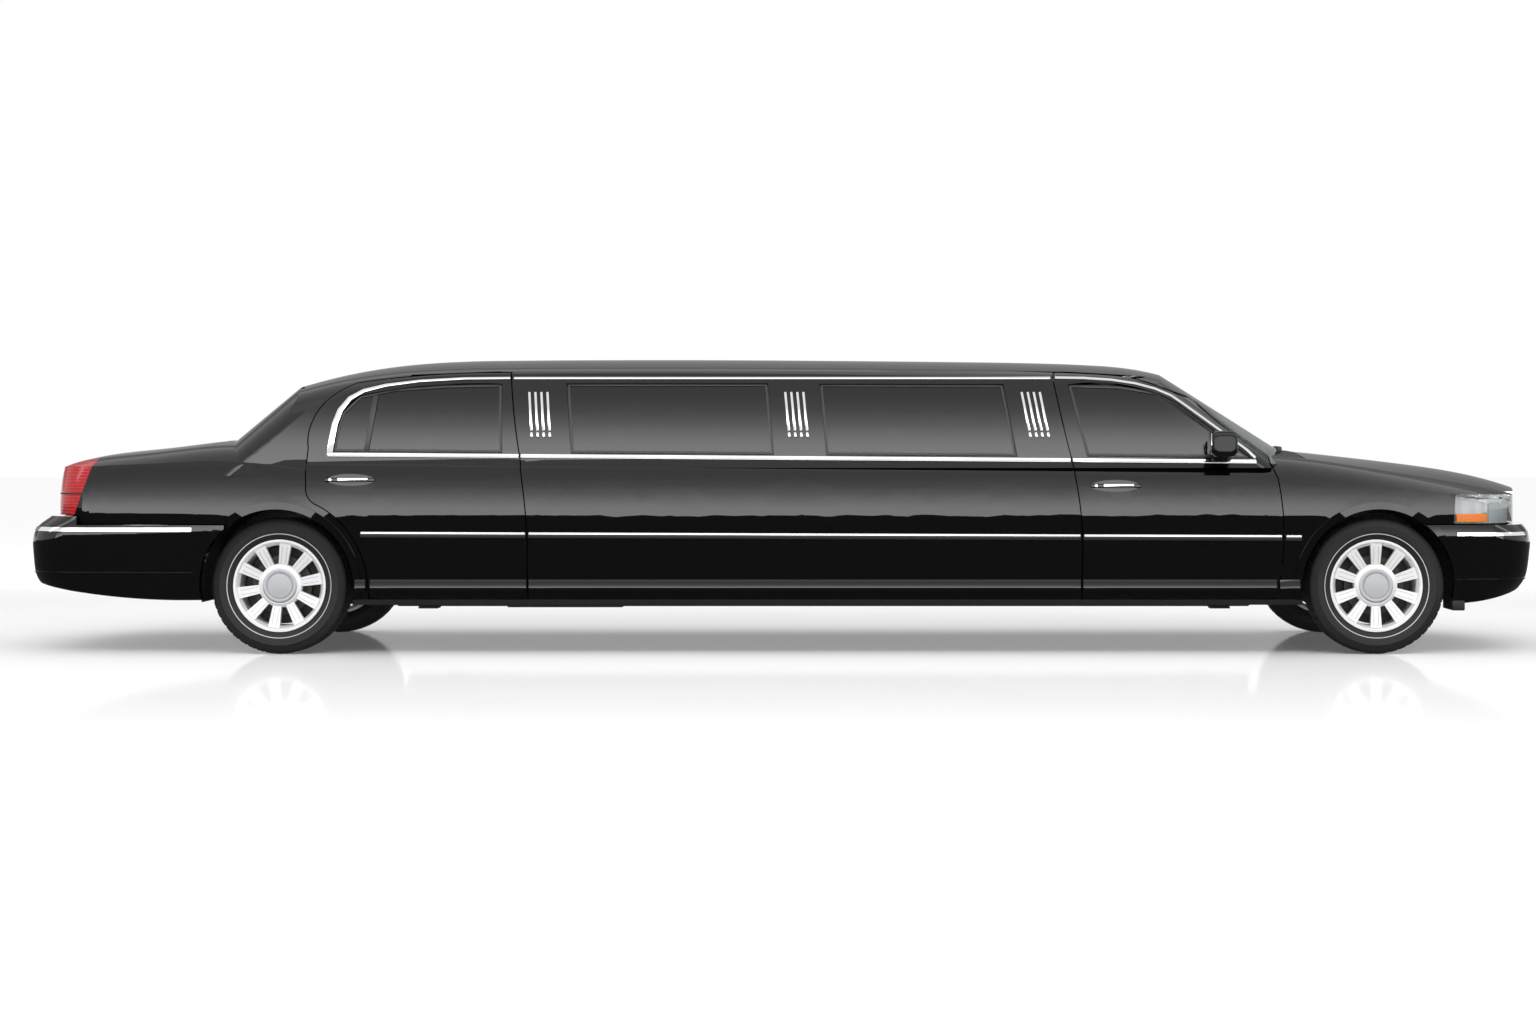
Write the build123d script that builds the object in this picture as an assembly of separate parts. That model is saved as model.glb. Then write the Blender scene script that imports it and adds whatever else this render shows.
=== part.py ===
from build123d import *
import math
import os

os.makedirs("parts", exist_ok=True)

# Stretch limousine in millimetres. +X is the nose, +Y the left side, z = 0 the ground.

AXLE_FRONT = 2988.0
AXLE_REAR = -2542.0
WHEEL_Y = 800.0
TYRE_RADIUS = 345.0
TYRE_HALF = 112.0
FACE_Y = 96.0
RIM_RADIUS = 233.0
SEAT_RADIUS = 216.0
KINGPIN_Y = 760.0
SPINDLE_RADIUS = 32.0
RUN_CLEARANCE = 0.05
SPOKES = 10

SEAM = 3.0
SIDE_WALL = 70.0
FENDER_WALL = 45.0
UPPER_WALL = 45.0
LID_WALL = 32.0
GLASS = 6.0
GLASS_DEPTH = 16.0
GLASS_GAP = 0.3
ARCH_RADIUS = 388.0
ARCH_LIP = 36.0
LIP_PROUD = 7.0
LINER_RADIUS = 390.0
LINER_WALL = 5.0
LINER_LOW = 470.0
WIDEST = 993.0
SILL_TOP = 282.0
SILL_LOW = 252.0
BUMPER_TOP = 652.0
SHUT_GAP = 6.0
LAMP_DEPTH = 120.0
BELT_FOOT = 940.0
DOOR_TOP = 1424.0
DOOR_REACH = 420.0
FRONT_HINGE_X = 2508.0
REAR_HINGE_X = -1281.0
SILL_SEAT = SILL_TOP - SEAM
ROOF_SEAT = DOOR_TOP + 2 * SEAM
FLANGE_END = 1440.0
FLANGE_LOW = 1100.0
SILL_WIDTH = 110.0
PAD_ROOT = 5.0
PAD_SUNK = 6.0
HINGE_Z = (430.0, 760.0)
HINGE_TALL = 30.0
HINGE_REACH = 60.0
HINGE_SKIN = 14.0
HINGE_DEPTH = 40.0
LID_PAD_IN = 600.0
LID_PAD_OUT = 660.0
ARCH_INNER = 600.0
HOOD_REAR = 800.0
HOOD_REAR_GAP = 30.0
HOOD_FRONT = 700.0
HOOD_NOSE = 660.0
HOOD_BACK = 2650.0
HOOD_LIP = 60.0
COWL_HALF = 770.0
GRILLE_HALF = 470.0
GRILLE_TOP = 812.0
GRILLE_DEPTH = 40.0
GRILLE_RIM = 22.0
GRILLE_BARS = 22
GRILLE_BAR = 12.0
REAR_STEP_X = -3556.0
REAR_STEP_TOP = 696.0
LID_FRONT = -2916.0
LID_HALF = 730.0
LID_REAR_WALL = 50.0
SCREEN_TOP = 1380.0
BACK_TOP = 1366.0
BACK_TOP_HALF = 610.0
BACK_LOW_HALF = 730.0
SAIL_FOOT = 900.0
BUMPER_WALL = 60.0

# Frame and floor
RAIL_IN = 420.0
RAIL_OUT = 490.0
RAIL_LOW = 219.0
RAIL_GAP = 4.0
RAIL_FRONT_X = 3640.0
RAIL_FRONT_LOW = 400.0
RAIL_FRONT_TOP = 480.0
RAIL_REAR_X = 3640.0
RAIL_REAR_LOW = 450.0
RAIL_REAR_TOP = 512.0
STRAPS = (-1700.0, -600.0, 700.0, 1900.0)
STRAP_HALF = 50.0
STRAP_LOW = 255.0
JACK_X = (-1850.0, 2250.0)
PAD_HALF = 50.0
PAD_HIGH = 10.0
FLOOR_LOW = SILL_SEAT
FLOOR_TOP = 300.0
FLOOR_HALF = 870.0
FLOOR_REAR = -2030.0
FIREWALL_X = 2440.0
FIREWALL_HALF = 815.0
FIREWALL_TOP = 960.0
PLATE = 15.0
TUNNEL_HALF = 110.0
TUNNEL_WALL = 12.0
TUNNEL_TOP = 455.0
BULKHEAD_HALF = 640.0
SHELF_TOP = 1030.0
SHELF_REAR = -2760.0
BOOT_HALF = 600.0
BOOT_REAR = -3640.0

# Running gear
AXLE_Z = TYRE_RADIUS
GEARBOX_X = 2300.0
SHAFT_RADIUS = 38.0
DIFF_RADIUS = 150.0
PIPE_RADIUS = 22.0
PIPE_Y = 260.0
CROSS_LOW = 225.0
CROSS_TOP = 300.0
TOWER_OUT = 530.0
LOWER_ARM_TOP = 255.0
UPPER_ARM_LOW = 430.0
UPPER_ARM_TOP = 452.0
SPINDLE_END = 880.0
DISC_RADIUS = 150.0
DISC_IN = 800.0
DISC_OUT = 822.0
BORE_END = 36.0

# Cabin
MIRROR_X = 2192.0
MIRROR_Y = 1055.0
MIRROR_Z = 1060.0
DASH_HALF = 815.0
DASH_ROWS = [
    (FIREWALL_X, 640.0),
    (FIREWALL_X, 950.0),
    (2200.0, 960.0),
    (2080.0, 930.0),
    (2060.0, 860.0),
    (2180.0, 640.0),
]
WHEEL_X = 1900.0
WHEEL_Z = 860.0
DRIVER_Y = 400.0
COLUMN_TILT = math.radians(20)
SEAT_TOP = 560.0
SIDE_BENCH_LONG = 1700.0
SIDE_BENCH_REAR = -1250.0
SIDE_BENCH_Y = 860.0
PARTITION_X = 1080.0
PARTITION_HALF = 820.0
CABINET_IN = 480.0
CABINET_OUT = 860.0
RADIATOR_X = 3520.0
RADIATOR_HALF = 440.0

# Door pulls: an oval cup with a bar across it, at x and z on the skin.
CUP_LONG = 250.0
CUP_HIGH = 60.0
CUP_DEEP = 22.0
GRIP_OUT = 8.0
GRIP_THICK = 16.0
GRIP_HIGH = 20.0
GRIP_ROUND = 6.0
FRONT_PULL = (1665.0, 850.0)
REAR_PULL = (-2171.0, 880.0)

# Wheel houses: axle, inner edge, whether the inner end is closed.
HOUSES = [(AXLE_FRONT, 505.0, False), (AXLE_REAR, 612.0, True)]

# Wheels: name, axle, side, turn in degrees
WHEELS = [
    ("front_right", AXLE_FRONT, -1, 0.0),
    ("front_left", AXLE_FRONT, 1, 0.0),
    ("rear_right", AXLE_REAR, -1, 8.0),
    ("rear_left", AXLE_REAR, 1, 8.0),
]

FRONT_DOOR_LEAN = math.tan(math.radians(17))
REAR_DOOR_LEAN = math.tan(math.radians(24))

# Plan ends: face radius, corner radius, taper radius, taper angle in degrees.
NOSE = (2400.0, 260.0, 7000.0, 9.0)
TAIL = (3400.0, 230.0, 9000.0, 7.0)
SCREEN_END = (1900.0, 140.0, 0.0, 0.0)
BACKLIGHT_END = (2300.0, 200.0, 0.0, 0.0)

# Lower body by height: z, half width, nose reach, tail reach.
BODY_ROWS = [
    (225.0, 936.0, 3690.0, 3600.0),
    (330.0, 964.0, 3765.0, 3690.0),
    (520.0, 986.0, 3815.0, 3750.0),
    (715.0, 992.0, 3826.0, 3772.0),
    (860.0, 986.0, 3818.0, 3765.0),
    (1000.0, 963.0, 3785.0, 3735.0),
    (1130.0, 925.0, 3730.0, 3680.0),
]
# Bumper skins by height: z, half width, nose reach, tail reach.
BUMPER_ROWS = [
    (240.0, 945.0, 3790.0, 3760.0),
    (330.0, 966.0, 3856.0, 3848.0),
    (420.0, 979.0, 3898.0, 3901.0),
    (520.0, 988.0, 3910.0, 3910.0),
    (605.0, 992.0, 3905.0, 3906.0),
    (655.0, 993.0, 3868.0, 3872.0),
    (705.0, 993.0, 3800.0, 3808.0),
]
# Glasshouse by height: z, half width, windscreen reach, rear window reach.
HOUSE_ROWS = [
    (880.0, 985.0, 2844.0, 3140.0),
    (990.0, 957.0, 2670.0, 3007.0),
    (1210.0, 876.0, 2322.0, 2741.0),
    (1429.0, 768.0, 1974.0, 2476.0),
    (1530.0, 712.0, 1814.0, 2354.0),
]
# Top faces along x: x, centre height, edge height, edge half width, height far out.
TOP_OUT = 1010.0
TOP_FLARE = 80.0
HOOD_ROWS = [
    (2380.0, 1040.0, 1000.0, 800.0, 858.0),
    (2900.0, 1002.0, 950.0, 780.0, 812.0),
    (3350.0, 948.0, 878.0, 745.0, 752.0),
    (3600.0, 906.0, 832.0, 715.0, 705.0),
    (3860.0, 830.0, 762.0, 690.0, 640.0),
]
DECK_ROWS = [
    (-3830.0, 770.0, 742.0, 742.0, 650.0),
    (-3640.0, 984.0, 953.0, 757.0, 816.0),
    (-3480.0, 1022.0, 990.0, 770.0, 851.0),
    (-3100.0, 1064.0, 1030.0, 785.0, 880.0),
    (-2700.0, 1088.0, 1052.0, 790.0, 900.0),
    (-2040.0, 1084.0, 1048.0, 792.0, 898.0),
]
BELT_ROWS = [
    (-2900.0, 1088.0, 1054.0, 790.0, 902.0),
    (2520.0, 1036.0, 996.0, 800.0, 856.0),
]
# Roof along x: x, centre height. The edge and far out drops are constant.
ROOF_EDGE = 690.0
ROOF_EDGE_DROP = 58.0
ROOF_OUT = 830.0
ROOF_OUT_DROP = 140.0
ROOF_FLARE = 260.0
ROOF_ROWS = [
    (-3250.0, 1134.0),
    (-2850.0, 1265.0),
    (-2400.0, 1412.0),
    (-2000.0, 1482.0),
    (-1400.0, 1507.0),
    (-300.0, 1509.0),
    (900.0, 1499.0),
    (1560.0, 1484.0),
    (1880.0, 1452.0),
    (2150.0, 1370.0),
    (2320.0, 1295.0),
    (2900.0, 1040.0),
]


def arc(a, b, c):
    return Edge.make_three_point_arc(a, b, c)


def line(a, b):
    return Edge.make_line(a, b)


def end_points(half, reach, end, inset):
    """Points from the straight side round one plan end to its middle."""
    face, corner, taper, degrees = end
    angle = math.radians(degrees)
    face -= inset
    corner -= inset
    taper -= inset if degrees else 0.0
    width = half - inset
    taper_width = width - taper * (1 - math.cos(angle))
    sine = (taper_width - corner * math.cos(angle)) / (face - corner)
    cosine = math.sqrt(1 - sine * sine)
    run = taper * math.sin(angle)
    length = run + corner * (cosine - math.sin(angle)) + face * (1 - cosine)
    start = reach - inset - length
    middle = (angle + math.pi / 2 - math.asin(sine)) / 2
    taper_end = (start + run, taper_width)
    taper_mid = (start + taper * math.sin(angle / 2), width - taper * (1 - math.cos(angle / 2)))
    corner_mid = (
        taper_end[0] + corner * (math.sin(middle) - math.sin(angle)),
        taper_end[1] - corner * (math.cos(angle) - math.cos(middle)),
    )
    corner_end = (
        taper_end[0] + corner * (cosine - math.sin(angle)),
        taper_end[1] - corner * (math.cos(angle) - sine),
    )
    return [(start, width), taper_mid, taper_end, corner_mid, corner_end, (reach - inset, 0.0)]


def plan_face(z, half, nose_reach, tail_reach, nose, tail, inset):
    """One closed plan outline at height z."""
    edges = []
    ends = []
    for sign, reach, end in ((1, nose_reach, nose), (-1, tail_reach, tail)):
        p = end_points(half, reach, end, inset)
        left = [(sign * x, y, z) for x, y in p]
        right = [(sign * x, -y, z) for x, y in p]
        for q in (left, right):
            if end[3]:
                edges.append(arc(q[0], q[1], q[2]))
            edges.append(arc(q[2], q[3], q[4]))
        edges.append(arc(left[4], left[5], right[4]))
        ends.append((left[0], right[0]))
    edges.append(line(ends[0][0], ends[1][0]))
    edges.append(line(ends[0][1], ends[1][1]))
    return Face(Wire(edges))


def plan_loft(rows, nose, tail, inset=0.0):
    return loft([plan_face(z, half, front, rear, nose, tail, inset) for z, half, front, rear in rows])


def top_face(x, centre, edge_z, edge, out_z, out, flare, inset):
    """Upright section with a crowned top, rounded shoulders and flared skirts."""
    low = 150.0
    zc = centre - inset
    ze = edge_z - inset
    ye = edge - 0.3 * inset
    yo = out - inset
    zo = out_z - 0.4 * inset
    drop = math.atan2(2 * (zc - ze), ye)
    tangent = (0.0, math.cos(drop), -math.sin(drop))
    crown = arc((x, -ye, ze), (x, 0.0, zc), (x, ye, ze))
    left = Edge.make_tangent_arc((x, ye, ze), tangent, (x, yo, zo))
    tangent = (0.0, -math.cos(drop), -math.sin(drop))
    right = Edge.make_tangent_arc((x, -ye, ze), tangent, (x, -yo, zo))
    ys = yo + flare
    zs = zo - flare
    walls = [
        line((x, yo, zo), (x, ys, zs)),
        line((x, ys, zs), (x, ys, low)),
        line((x, ys, low), (x, -ys, low)),
        line((x, -ys, low), (x, -ys, zs)),
        line((x, -ys, zs), (x, -yo, zo)),
    ]
    return Face(Wire([crown, left, right] + walls))


def top_loft(rows, inset=0.0, ruled=False):
    return loft([top_face(x, c, e, w, o, TOP_OUT, TOP_FLARE, inset) for x, c, e, w, o in rows], ruled=ruled)


def roof_loft(inset=0.0):
    faces = []
    for x, centre in ROOF_ROWS:
        edge_z = centre - ROOF_EDGE_DROP
        out_z = centre - ROOF_OUT_DROP
        faces.append(top_face(x, centre, edge_z, ROOF_EDGE, out_z, ROOF_OUT, ROOF_FLARE, inset))
    return loft(faces)


def between(rows, z):
    """Half width at height z from a table of rows."""
    for low, high in zip(rows, rows[1:]):
        if z <= high[0]:
            part = (z - low[0]) / (high[0] - low[0])
            return low[1] + part * (high[1] - low[1])
    return rows[-1][1]


def outer_half(z):
    return between(BODY_ROWS, z) if z < 930 else between(HOUSE_ROWS, z)


def side_face(steps, lean=0.0, y=-WIDEST):
    """Side view outline from steps of (x, z) points: two points a line, three an arc.

    With a lean, x is taken back so that the slanted prism meets the skin at the given place.
    """
    edges = []
    for step in steps:
        points = [(x - lean * (WIDEST - outer_half(z)), y, z) for x, z in step]
        edges.append(line(*points) if len(points) == 2 else arc(*points))
    return Face(Wire(edges))


def side_prism(face, depth, lean=0.0):
    return extrude(face, amount=depth * math.hypot(1.0, lean), dir=(lean, 1.0, 0.0))


def grow(face, amount):
    return offset(face, amount=amount, kind=Kind.INTERSECTION)


def block(x0, x1, y0, y1, z0, z1):
    return Pos((x0 + x1) / 2, (y0 + y1) / 2, (z0 + z1) / 2) * Box(x1 - x0, y1 - y0, z1 - z0)


def profile_y(points, y0, y1):
    """Side view polygon stretched from y0 to y1."""
    face = Face(Wire.make_polygon([(x, y0, z) for x, z in points]))
    return extrude(face, amount=y1 - y0, dir=(0, 1, 0))


def profile_z(points, z0, z1):
    """Plan polygon stretched from z0 to z1."""
    face = Face(Wire.make_polygon([(x, y, z0) for x, y in points]))
    return extrude(face, amount=z1 - z0, dir=(0, 0, 1))


def cylinder_y(x, z, radius, y0, y1):
    return Pos(x, (y0 + y1) / 2, z) * Rot(90, 0, 0) * Cylinder(radius, y1 - y0)


def cylinder_x(x0, x1, y, z, radius):
    return Pos((x0 + x1) / 2, y, z) * Rot(0, 90, 0) * Cylinder(radius, x1 - x0)


def mirrored(shape):
    return shape.mirror(Plane.XZ)


def solids(*shapes):
    found = []
    for shape in shapes:
        found.extend(shape.solids())
    return Compound(children=found) if len(found) > 1 else found[0]


def biggest(shape):
    return max(shape.solids(), key=lambda s: s.volume)


def save(name, *shapes):
    export_step(solids(*shapes), "parts/" + name + ".step")


# Master shapes

right_half = block(-4200, 4200, -1200, 0, 0, 1700)
body_out = plan_loft(BODY_ROWS, NOSE, TAIL)
body_side_in = plan_loft(BODY_ROWS, NOSE, TAIL, SIDE_WALL)
body_fender_in = plan_loft(BODY_ROWS, NOSE, TAIL, FENDER_WALL)
body_lamp_in = plan_loft(BODY_ROWS, NOSE, TAIL, LAMP_DEPTH)
hood_top = top_loft(HOOD_ROWS)
hood_top_in = top_loft(HOOD_ROWS, LID_WALL)
deck_top = top_loft(DECK_ROWS)
deck_top_in = top_loft(DECK_ROWS, LID_WALL)
belt_top = top_loft(BELT_ROWS, ruled=True)
house_loft = plan_loft(HOUSE_ROWS, SCREEN_END, BACKLIGHT_END)
house_out = house_loft & roof_loft()
house_side_in = plan_loft(HOUSE_ROWS, SCREEN_END, BACKLIGHT_END, UPPER_WALL)
house_in = house_side_in & roof_loft(UPPER_WALL)
house_pane_in = plan_loft(HOUSE_ROWS, SCREEN_END, BACKLIGHT_END, GLASS)
glass_out = plan_loft(HOUSE_ROWS, SCREEN_END, BACKLIGHT_END, GLASS_DEPTH)
glass_in = plan_loft(HOUSE_ROWS, SCREEN_END, BACKLIGHT_END, GLASS_DEPTH + GLASS)

front_solid = body_out & hood_top
rear_solid = body_out & deck_top
front_end = front_solid - (body_fender_in & hood_top_in)
rear_end = rear_solid - (body_fender_in & deck_top_in)
side_wall = ((body_out & belt_top) - body_side_in) & right_half
upper_wall = (house_out - house_side_in) & right_half
door_wall = side_wall + (upper_wall & block(-4000, 4000, -1200, 0, BELT_FOOT, 1600))

# Door outlines in side view, on the skin

front_door_steps = [
    [(1359, DOOR_TOP), (1446, 990)],
    [(1446, 990), (1487, 750), (1500, 500)],
    [(1500, 500), (1498, SILL_TOP)],
    [(1498, SILL_TOP), (2474, SILL_TOP)],
    [(2474, SILL_TOP), (FRONT_HINGE_X, 600), (2478, 890)],
    [(2478, 890), (2425, 985)],
    [(2425, 985), (2010, 1300)],
    [(2010, 1300), (1790, 1388), (1359, DOOR_TOP)],
]
rear_door_steps = [
    [(-1389, DOOR_TOP), (-1322, 990)],
    [(-1322, 990), (-1294, 750), (REAR_HINGE_X, 500)],
    [(REAR_HINGE_X, 500), (REAR_HINGE_X, SILL_TOP)],
    [(REAR_HINGE_X, SILL_TOP), (-2078, SILL_TOP)],
    [(-2078, SILL_TOP), (-2084, 345)],
    [(-2084, 345), (-2218, 668), (-2330, 751)],
    [(-2330, 751), (-2378, 790), (-2391, 850)],
    [(-2391, 850), (-2386, 1040)],
    [(-2386, 1040), (-2345, 1237), (-2180, 1372)],
    [(-2180, 1372), (-1800, 1412), (-1389, DOOR_TOP)],
]
front_door_face = side_face(front_door_steps, FRONT_DOOR_LEAN)
rear_door_face = side_face(rear_door_steps, REAR_DOOR_LEAN)
front_door_in = side_prism(grow(front_door_face, -SEAM), DOOR_REACH, FRONT_DOOR_LEAN)
front_door_cut = side_prism(grow(front_door_face, SEAM), DOOR_REACH, FRONT_DOOR_LEAN)
rear_door_in = side_prism(grow(rear_door_face, -SEAM), DOOR_REACH, REAR_DOOR_LEAN)
rear_door_cut = side_prism(grow(rear_door_face, SEAM), DOOR_REACH, REAR_DOOR_LEAN)

# Windows in side view

front_window_steps = [
    [(1437, 1362), (1524, 995)],
    [(1524, 995), (2352, 987)],
    [(2352, 987), (1990, 1270)],
    [(1990, 1270), (1790, 1348), (1437, 1362)],
]
rear_window_steps = [
    [(-1430, 1366), (-1412, 1012)],
    [(-1412, 1012), (-2266, 1018)],
    [(-2266, 1018), (-2245, 1200), (-2150, 1306)],
    [(-2150, 1306), (-1850, 1353), (-1430, 1366)],
]
stretch_window_rows = [
    ((-1105, 1368), (-1068, 1010), (-45, 1003), (-82, 1368)),
    ((178, 1366), (214, 1001), (1176, 995), (1112, 1364)),
]


def pane(face):
    """Curved side glass held in its opening by the glass gap."""
    return (glass_out - glass_in) & side_prism(grow(face, -GLASS_GAP), DOOR_REACH)


front_window = side_face(front_window_steps)
rear_window = side_face(rear_window_steps)
stretch_windows = []
for a, b, c, d in stretch_window_rows:
    stretch_windows.append(side_face([[a, b], [b, c], [c, d], [d, a]]))

# Hinge pads that close the seam to the seat gap ahead of each door's front edge


def hinge_pads(face, lean, x):
    """Two pads beside the seam at x, to be joined to the panel ahead of the door."""
    ring = side_prism(grow(face, SEAM + PAD_ROOT), DOOR_REACH, lean)
    ring = ring - side_prism(grow(face, GLASS_GAP - SEAM), DOOR_REACH, lean)
    pads = []
    for z in HINGE_Z:
        y = outer_half(z)
        low = z - HINGE_TALL
        high = z + HINGE_TALL
        zone = block(x - HINGE_REACH, x + HINGE_REACH, -y + HINGE_SKIN, -y + HINGE_DEPTH, low, high)
        pads.append(biggest(ring & zone))
    return pads


front_pads = hinge_pads(front_door_face, FRONT_DOOR_LEAN, FRONT_HINGE_X)
rear_pads = hinge_pads(rear_door_face, REAR_DOOR_LEAN, REAR_HINGE_X)

# Doors with their glass



def with_pull(door, place):
    """Door with an oval cup sunk in its skin and a rounded bar across the cup."""
    x, z = place
    y = outer_half(z)
    half = CUP_LONG / 2
    skin = -y - GRIP_OUT
    face = Plane((x, skin, z), x_dir=(1, 0, 0), z_dir=(0, 1, 0)) * Ellipse(half, CUP_HIGH / 2)
    bar = block(x - half, x + half, skin, skin + GRIP_THICK, z - GRIP_HIGH / 2, z + GRIP_HIGH / 2)
    bar = fillet(bar.faces().sort_by(Axis.Y)[0].edges(), GRIP_ROUND)
    return (door - extrude(face, amount=GRIP_OUT + CUP_DEEP)) + bar


front_door = (door_wall & front_door_in) - side_prism(front_window, DOOR_REACH)
front_door = biggest(with_pull(biggest(front_door), FRONT_PULL))
rear_door = (door_wall & rear_door_in) - side_prism(rear_window, DOOR_REACH)
rear_door = biggest(with_pull(biggest(rear_door), REAR_PULL))
front_glass = pane(front_window)
rear_glass = pane(rear_window)

# Stretch panels with two windows each, standing on the sills and carrying the roof

stretch_zone = block(-1600, 1800, -WIDEST - 5, -400, SILL_SEAT, ROOF_SEAT)
stretch = (door_wall & stretch_zone) - front_door_cut - rear_door_cut
for window in stretch_windows:
    stretch = stretch - side_prism(window, DOOR_REACH)
flange_span = block(-FLANGE_END, FLANGE_END, -1200, 0, FLANGE_LOW, 1600)
stretch = stretch - (block(-1800, 1800, -1200, 0, FLANGE_LOW, 1600) - flange_span)
for pad in rear_pads:
    stretch = stretch + pad
stretch = biggest(stretch)
stretch_glass = [pane(window) for window in stretch_windows]

# Wheel arches

front_arch = cylinder_y(AXLE_FRONT, TYRE_RADIUS, ARCH_RADIUS, -1100, -ARCH_INNER)
rear_arch = cylinder_y(AXLE_REAR, TYRE_RADIUS, ARCH_RADIUS, -1100, -ARCH_INNER)
lip_skin = plan_loft(BODY_ROWS, NOSE, TAIL, -LIP_PROUD)


def arch_lip(skin, inside, axle, hole):
    """Raised band round an arch, on the given skin."""
    band = cylinder_y(axle, TYRE_RADIUS, ARCH_RADIUS + ARCH_LIP, -1100, -ARCH_INNER) - hole
    return (skin & band) - inside


front_lip = arch_lip(lip_skin, body_fender_in, AXLE_FRONT, front_arch)
rear_lip = arch_lip(lip_skin, body_fender_in, AXLE_REAR, rear_arch)

# Sills below the doors

sill = (body_out - plan_loft(BODY_ROWS, NOSE, TAIL, SILL_WIDTH)) & right_half
sill = sill & block(-2300, 2750, -1200, 0, SILL_LOW, SILL_SEAT)
sill = biggest(sill - front_arch - rear_arch)

# Front fenders, headlamps, grille and hood

bumper_seat = BUMPER_TOP + SHUT_GAP
fender_zone = profile_z(
    [(2380, -1200), (3900, -1200), (3900, -HOOD_NOSE), (3600, -HOOD_FRONT), (2380, -HOOD_REAR)],
    200,
    1200,
)
fender_side = profile_y(
    [
        (2380, SILL_SEAT),
        (AXLE_FRONT, SILL_SEAT),
        (AXLE_FRONT, bumper_seat),
        (3900, bumper_seat),
        (3900, 1200),
        (2380, 1200),
    ],
    -1200,
    0,
)
lamp_face = [(3372, bumper_seat), (3950, bumper_seat), (3950, 804), (3380, 806)]
headlamp_hole = profile_y(lamp_face, -1200, -GRILLE_HALF)
grille_hole = block(3400, 4000, -GRILLE_HALF, GRILLE_HALF, bumper_seat, GRILLE_TOP)
fender = (front_end & fender_zone & fender_side) - front_door_cut - front_arch
fender = fender - headlamp_hole - grille_hole + (front_lip & fender_side)
for pad in front_pads:
    fender = fender + pad
fender = biggest(fender)
lamp_outline = grow(Face(Wire.make_polygon([(x, -1200, z) for x, z in lamp_face])), -GLASS_GAP)
headlamp_prism = extrude(lamp_outline, amount=1200 - GRILLE_HALF - GLASS_GAP, dir=(0, 1, 0))
headlamp = biggest((front_solid - body_lamp_in) & headlamp_prism)

hood_rear = HOOD_REAR - HOOD_REAR_GAP
hood_zone = profile_z(
    [
        (HOOD_BACK, -hood_rear),
        (3600, -HOOD_FRONT + SHUT_GAP),
        (3900, -HOOD_NOSE + SHUT_GAP),
        (3900, HOOD_NOSE - SHUT_GAP),
        (3600, HOOD_FRONT - SHUT_GAP),
        (HOOD_BACK, hood_rear),
    ],
    700,
    1200,
)
hood_shell = front_solid - (plan_loft(BODY_ROWS, NOSE, TAIL, HOOD_LIP) & hood_top_in)
hood = biggest((hood_shell & hood_zone) - block(3000, 4000, -1000, 1000, 0, GRILLE_TOP + SHUT_GAP))

grille_shell = front_solid - plan_loft(BODY_ROWS, NOSE, TAIL, GRILLE_DEPTH)
half_width = GRILLE_HALF - GLASS_GAP
low = bumper_seat
high = GRILLE_TOP
frame_zone = block(3400, 4000, -half_width, half_width, low, high)
rim_half = half_width - GRILLE_RIM
frame_zone = frame_zone - block(3300, 4100, -rim_half, rim_half, low + GRILLE_RIM, high - GRILLE_RIM)
grille = grille_shell & frame_zone
pitch = (2 * half_width - 2 * GRILLE_RIM) / (GRILLE_BARS + 1)
for i in range(GRILLE_BARS):
    y = -half_width + GRILLE_RIM + pitch * (i + 1)
    bar = block(3400, 4000, y - GRILLE_BAR / 2, y + GRILLE_BAR / 2, low + 2, high - 2)
    grille = grille + (grille_shell & bar)
grille = biggest(grille)

# Rear quarters with the sail pillars, tail lamps and boot lid

quarter_side = profile_y(
    [
        (-2040, SILL_SEAT),
        (AXLE_REAR, SILL_SEAT),
        (AXLE_REAR, bumper_seat),
        (REAR_STEP_X + SHUT_GAP, bumper_seat),
        (REAR_STEP_X + SHUT_GAP, REAR_STEP_TOP + SHUT_GAP),
        (-3900, REAR_STEP_TOP + SHUT_GAP),
        (-3900, 1200),
        (-2040, 1200),
    ],
    -1200,
    0,
)
lid_zone = block(-4000, LID_FRONT, -LID_HALF, LID_HALF, REAR_STEP_TOP + SHUT_GAP, 1200)
lid_hole = block(-4000, LID_FRONT + SHUT_GAP, -LID_HALF - SHUT_GAP, LID_HALF + SHUT_GAP, 0, 1200)
sail_top = [(-2470, 1348), (-2420, 1318), (-2180, 1380), (-1900, 1413)]
sail_foot = [(-1900, SAIL_FOOT), (-3050, SAIL_FOOT), (-3050, BACK_TOP), (-2526, BACK_TOP)]
sail_zone = profile_y(sail_foot + sail_top, -1200, -400)
back_rows = [
    (-BACK_LOW_HALF, SAIL_FOOT),
    (BACK_LOW_HALF, SAIL_FOOT),
    (BACK_TOP_HALF, BACK_TOP),
    (-BACK_TOP_HALF, BACK_TOP),
]
back_face = Face(Wire.make_polygon([(-3300, y, z) for y, z in back_rows]))
sail_zone = sail_zone - extrude(back_face, amount=1000, dir=(1, 0, 0))
house_hole = house_loft & block(-4200, 4200, -1200, 1200, SAIL_FOOT, 1700)
quarter = (rear_end & right_half & quarter_side) - house_hole - lid_hole
quarter = (quarter + (upper_wall & sail_zone)) - rear_door_cut - rear_arch
quarter = quarter + (rear_lip & quarter_side)
tail_low = REAR_STEP_TOP + SHUT_GAP
tail_face = [(-3468, 990), (-3574, tail_low), (-3950, tail_low), (-3950, 990)]
lid_pad = block(LID_FRONT + GLASS_GAP, LID_FRONT + SHUT_GAP + PAD_ROOT, -LID_PAD_OUT, -LID_PAD_IN, 0, 1200)
quarter = quarter + ((top_loft(DECK_ROWS, PAD_SUNK) - deck_top_in) & lid_pad)
quarter = biggest(quarter - profile_y(tail_face, -1200, -LID_HALF))
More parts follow.
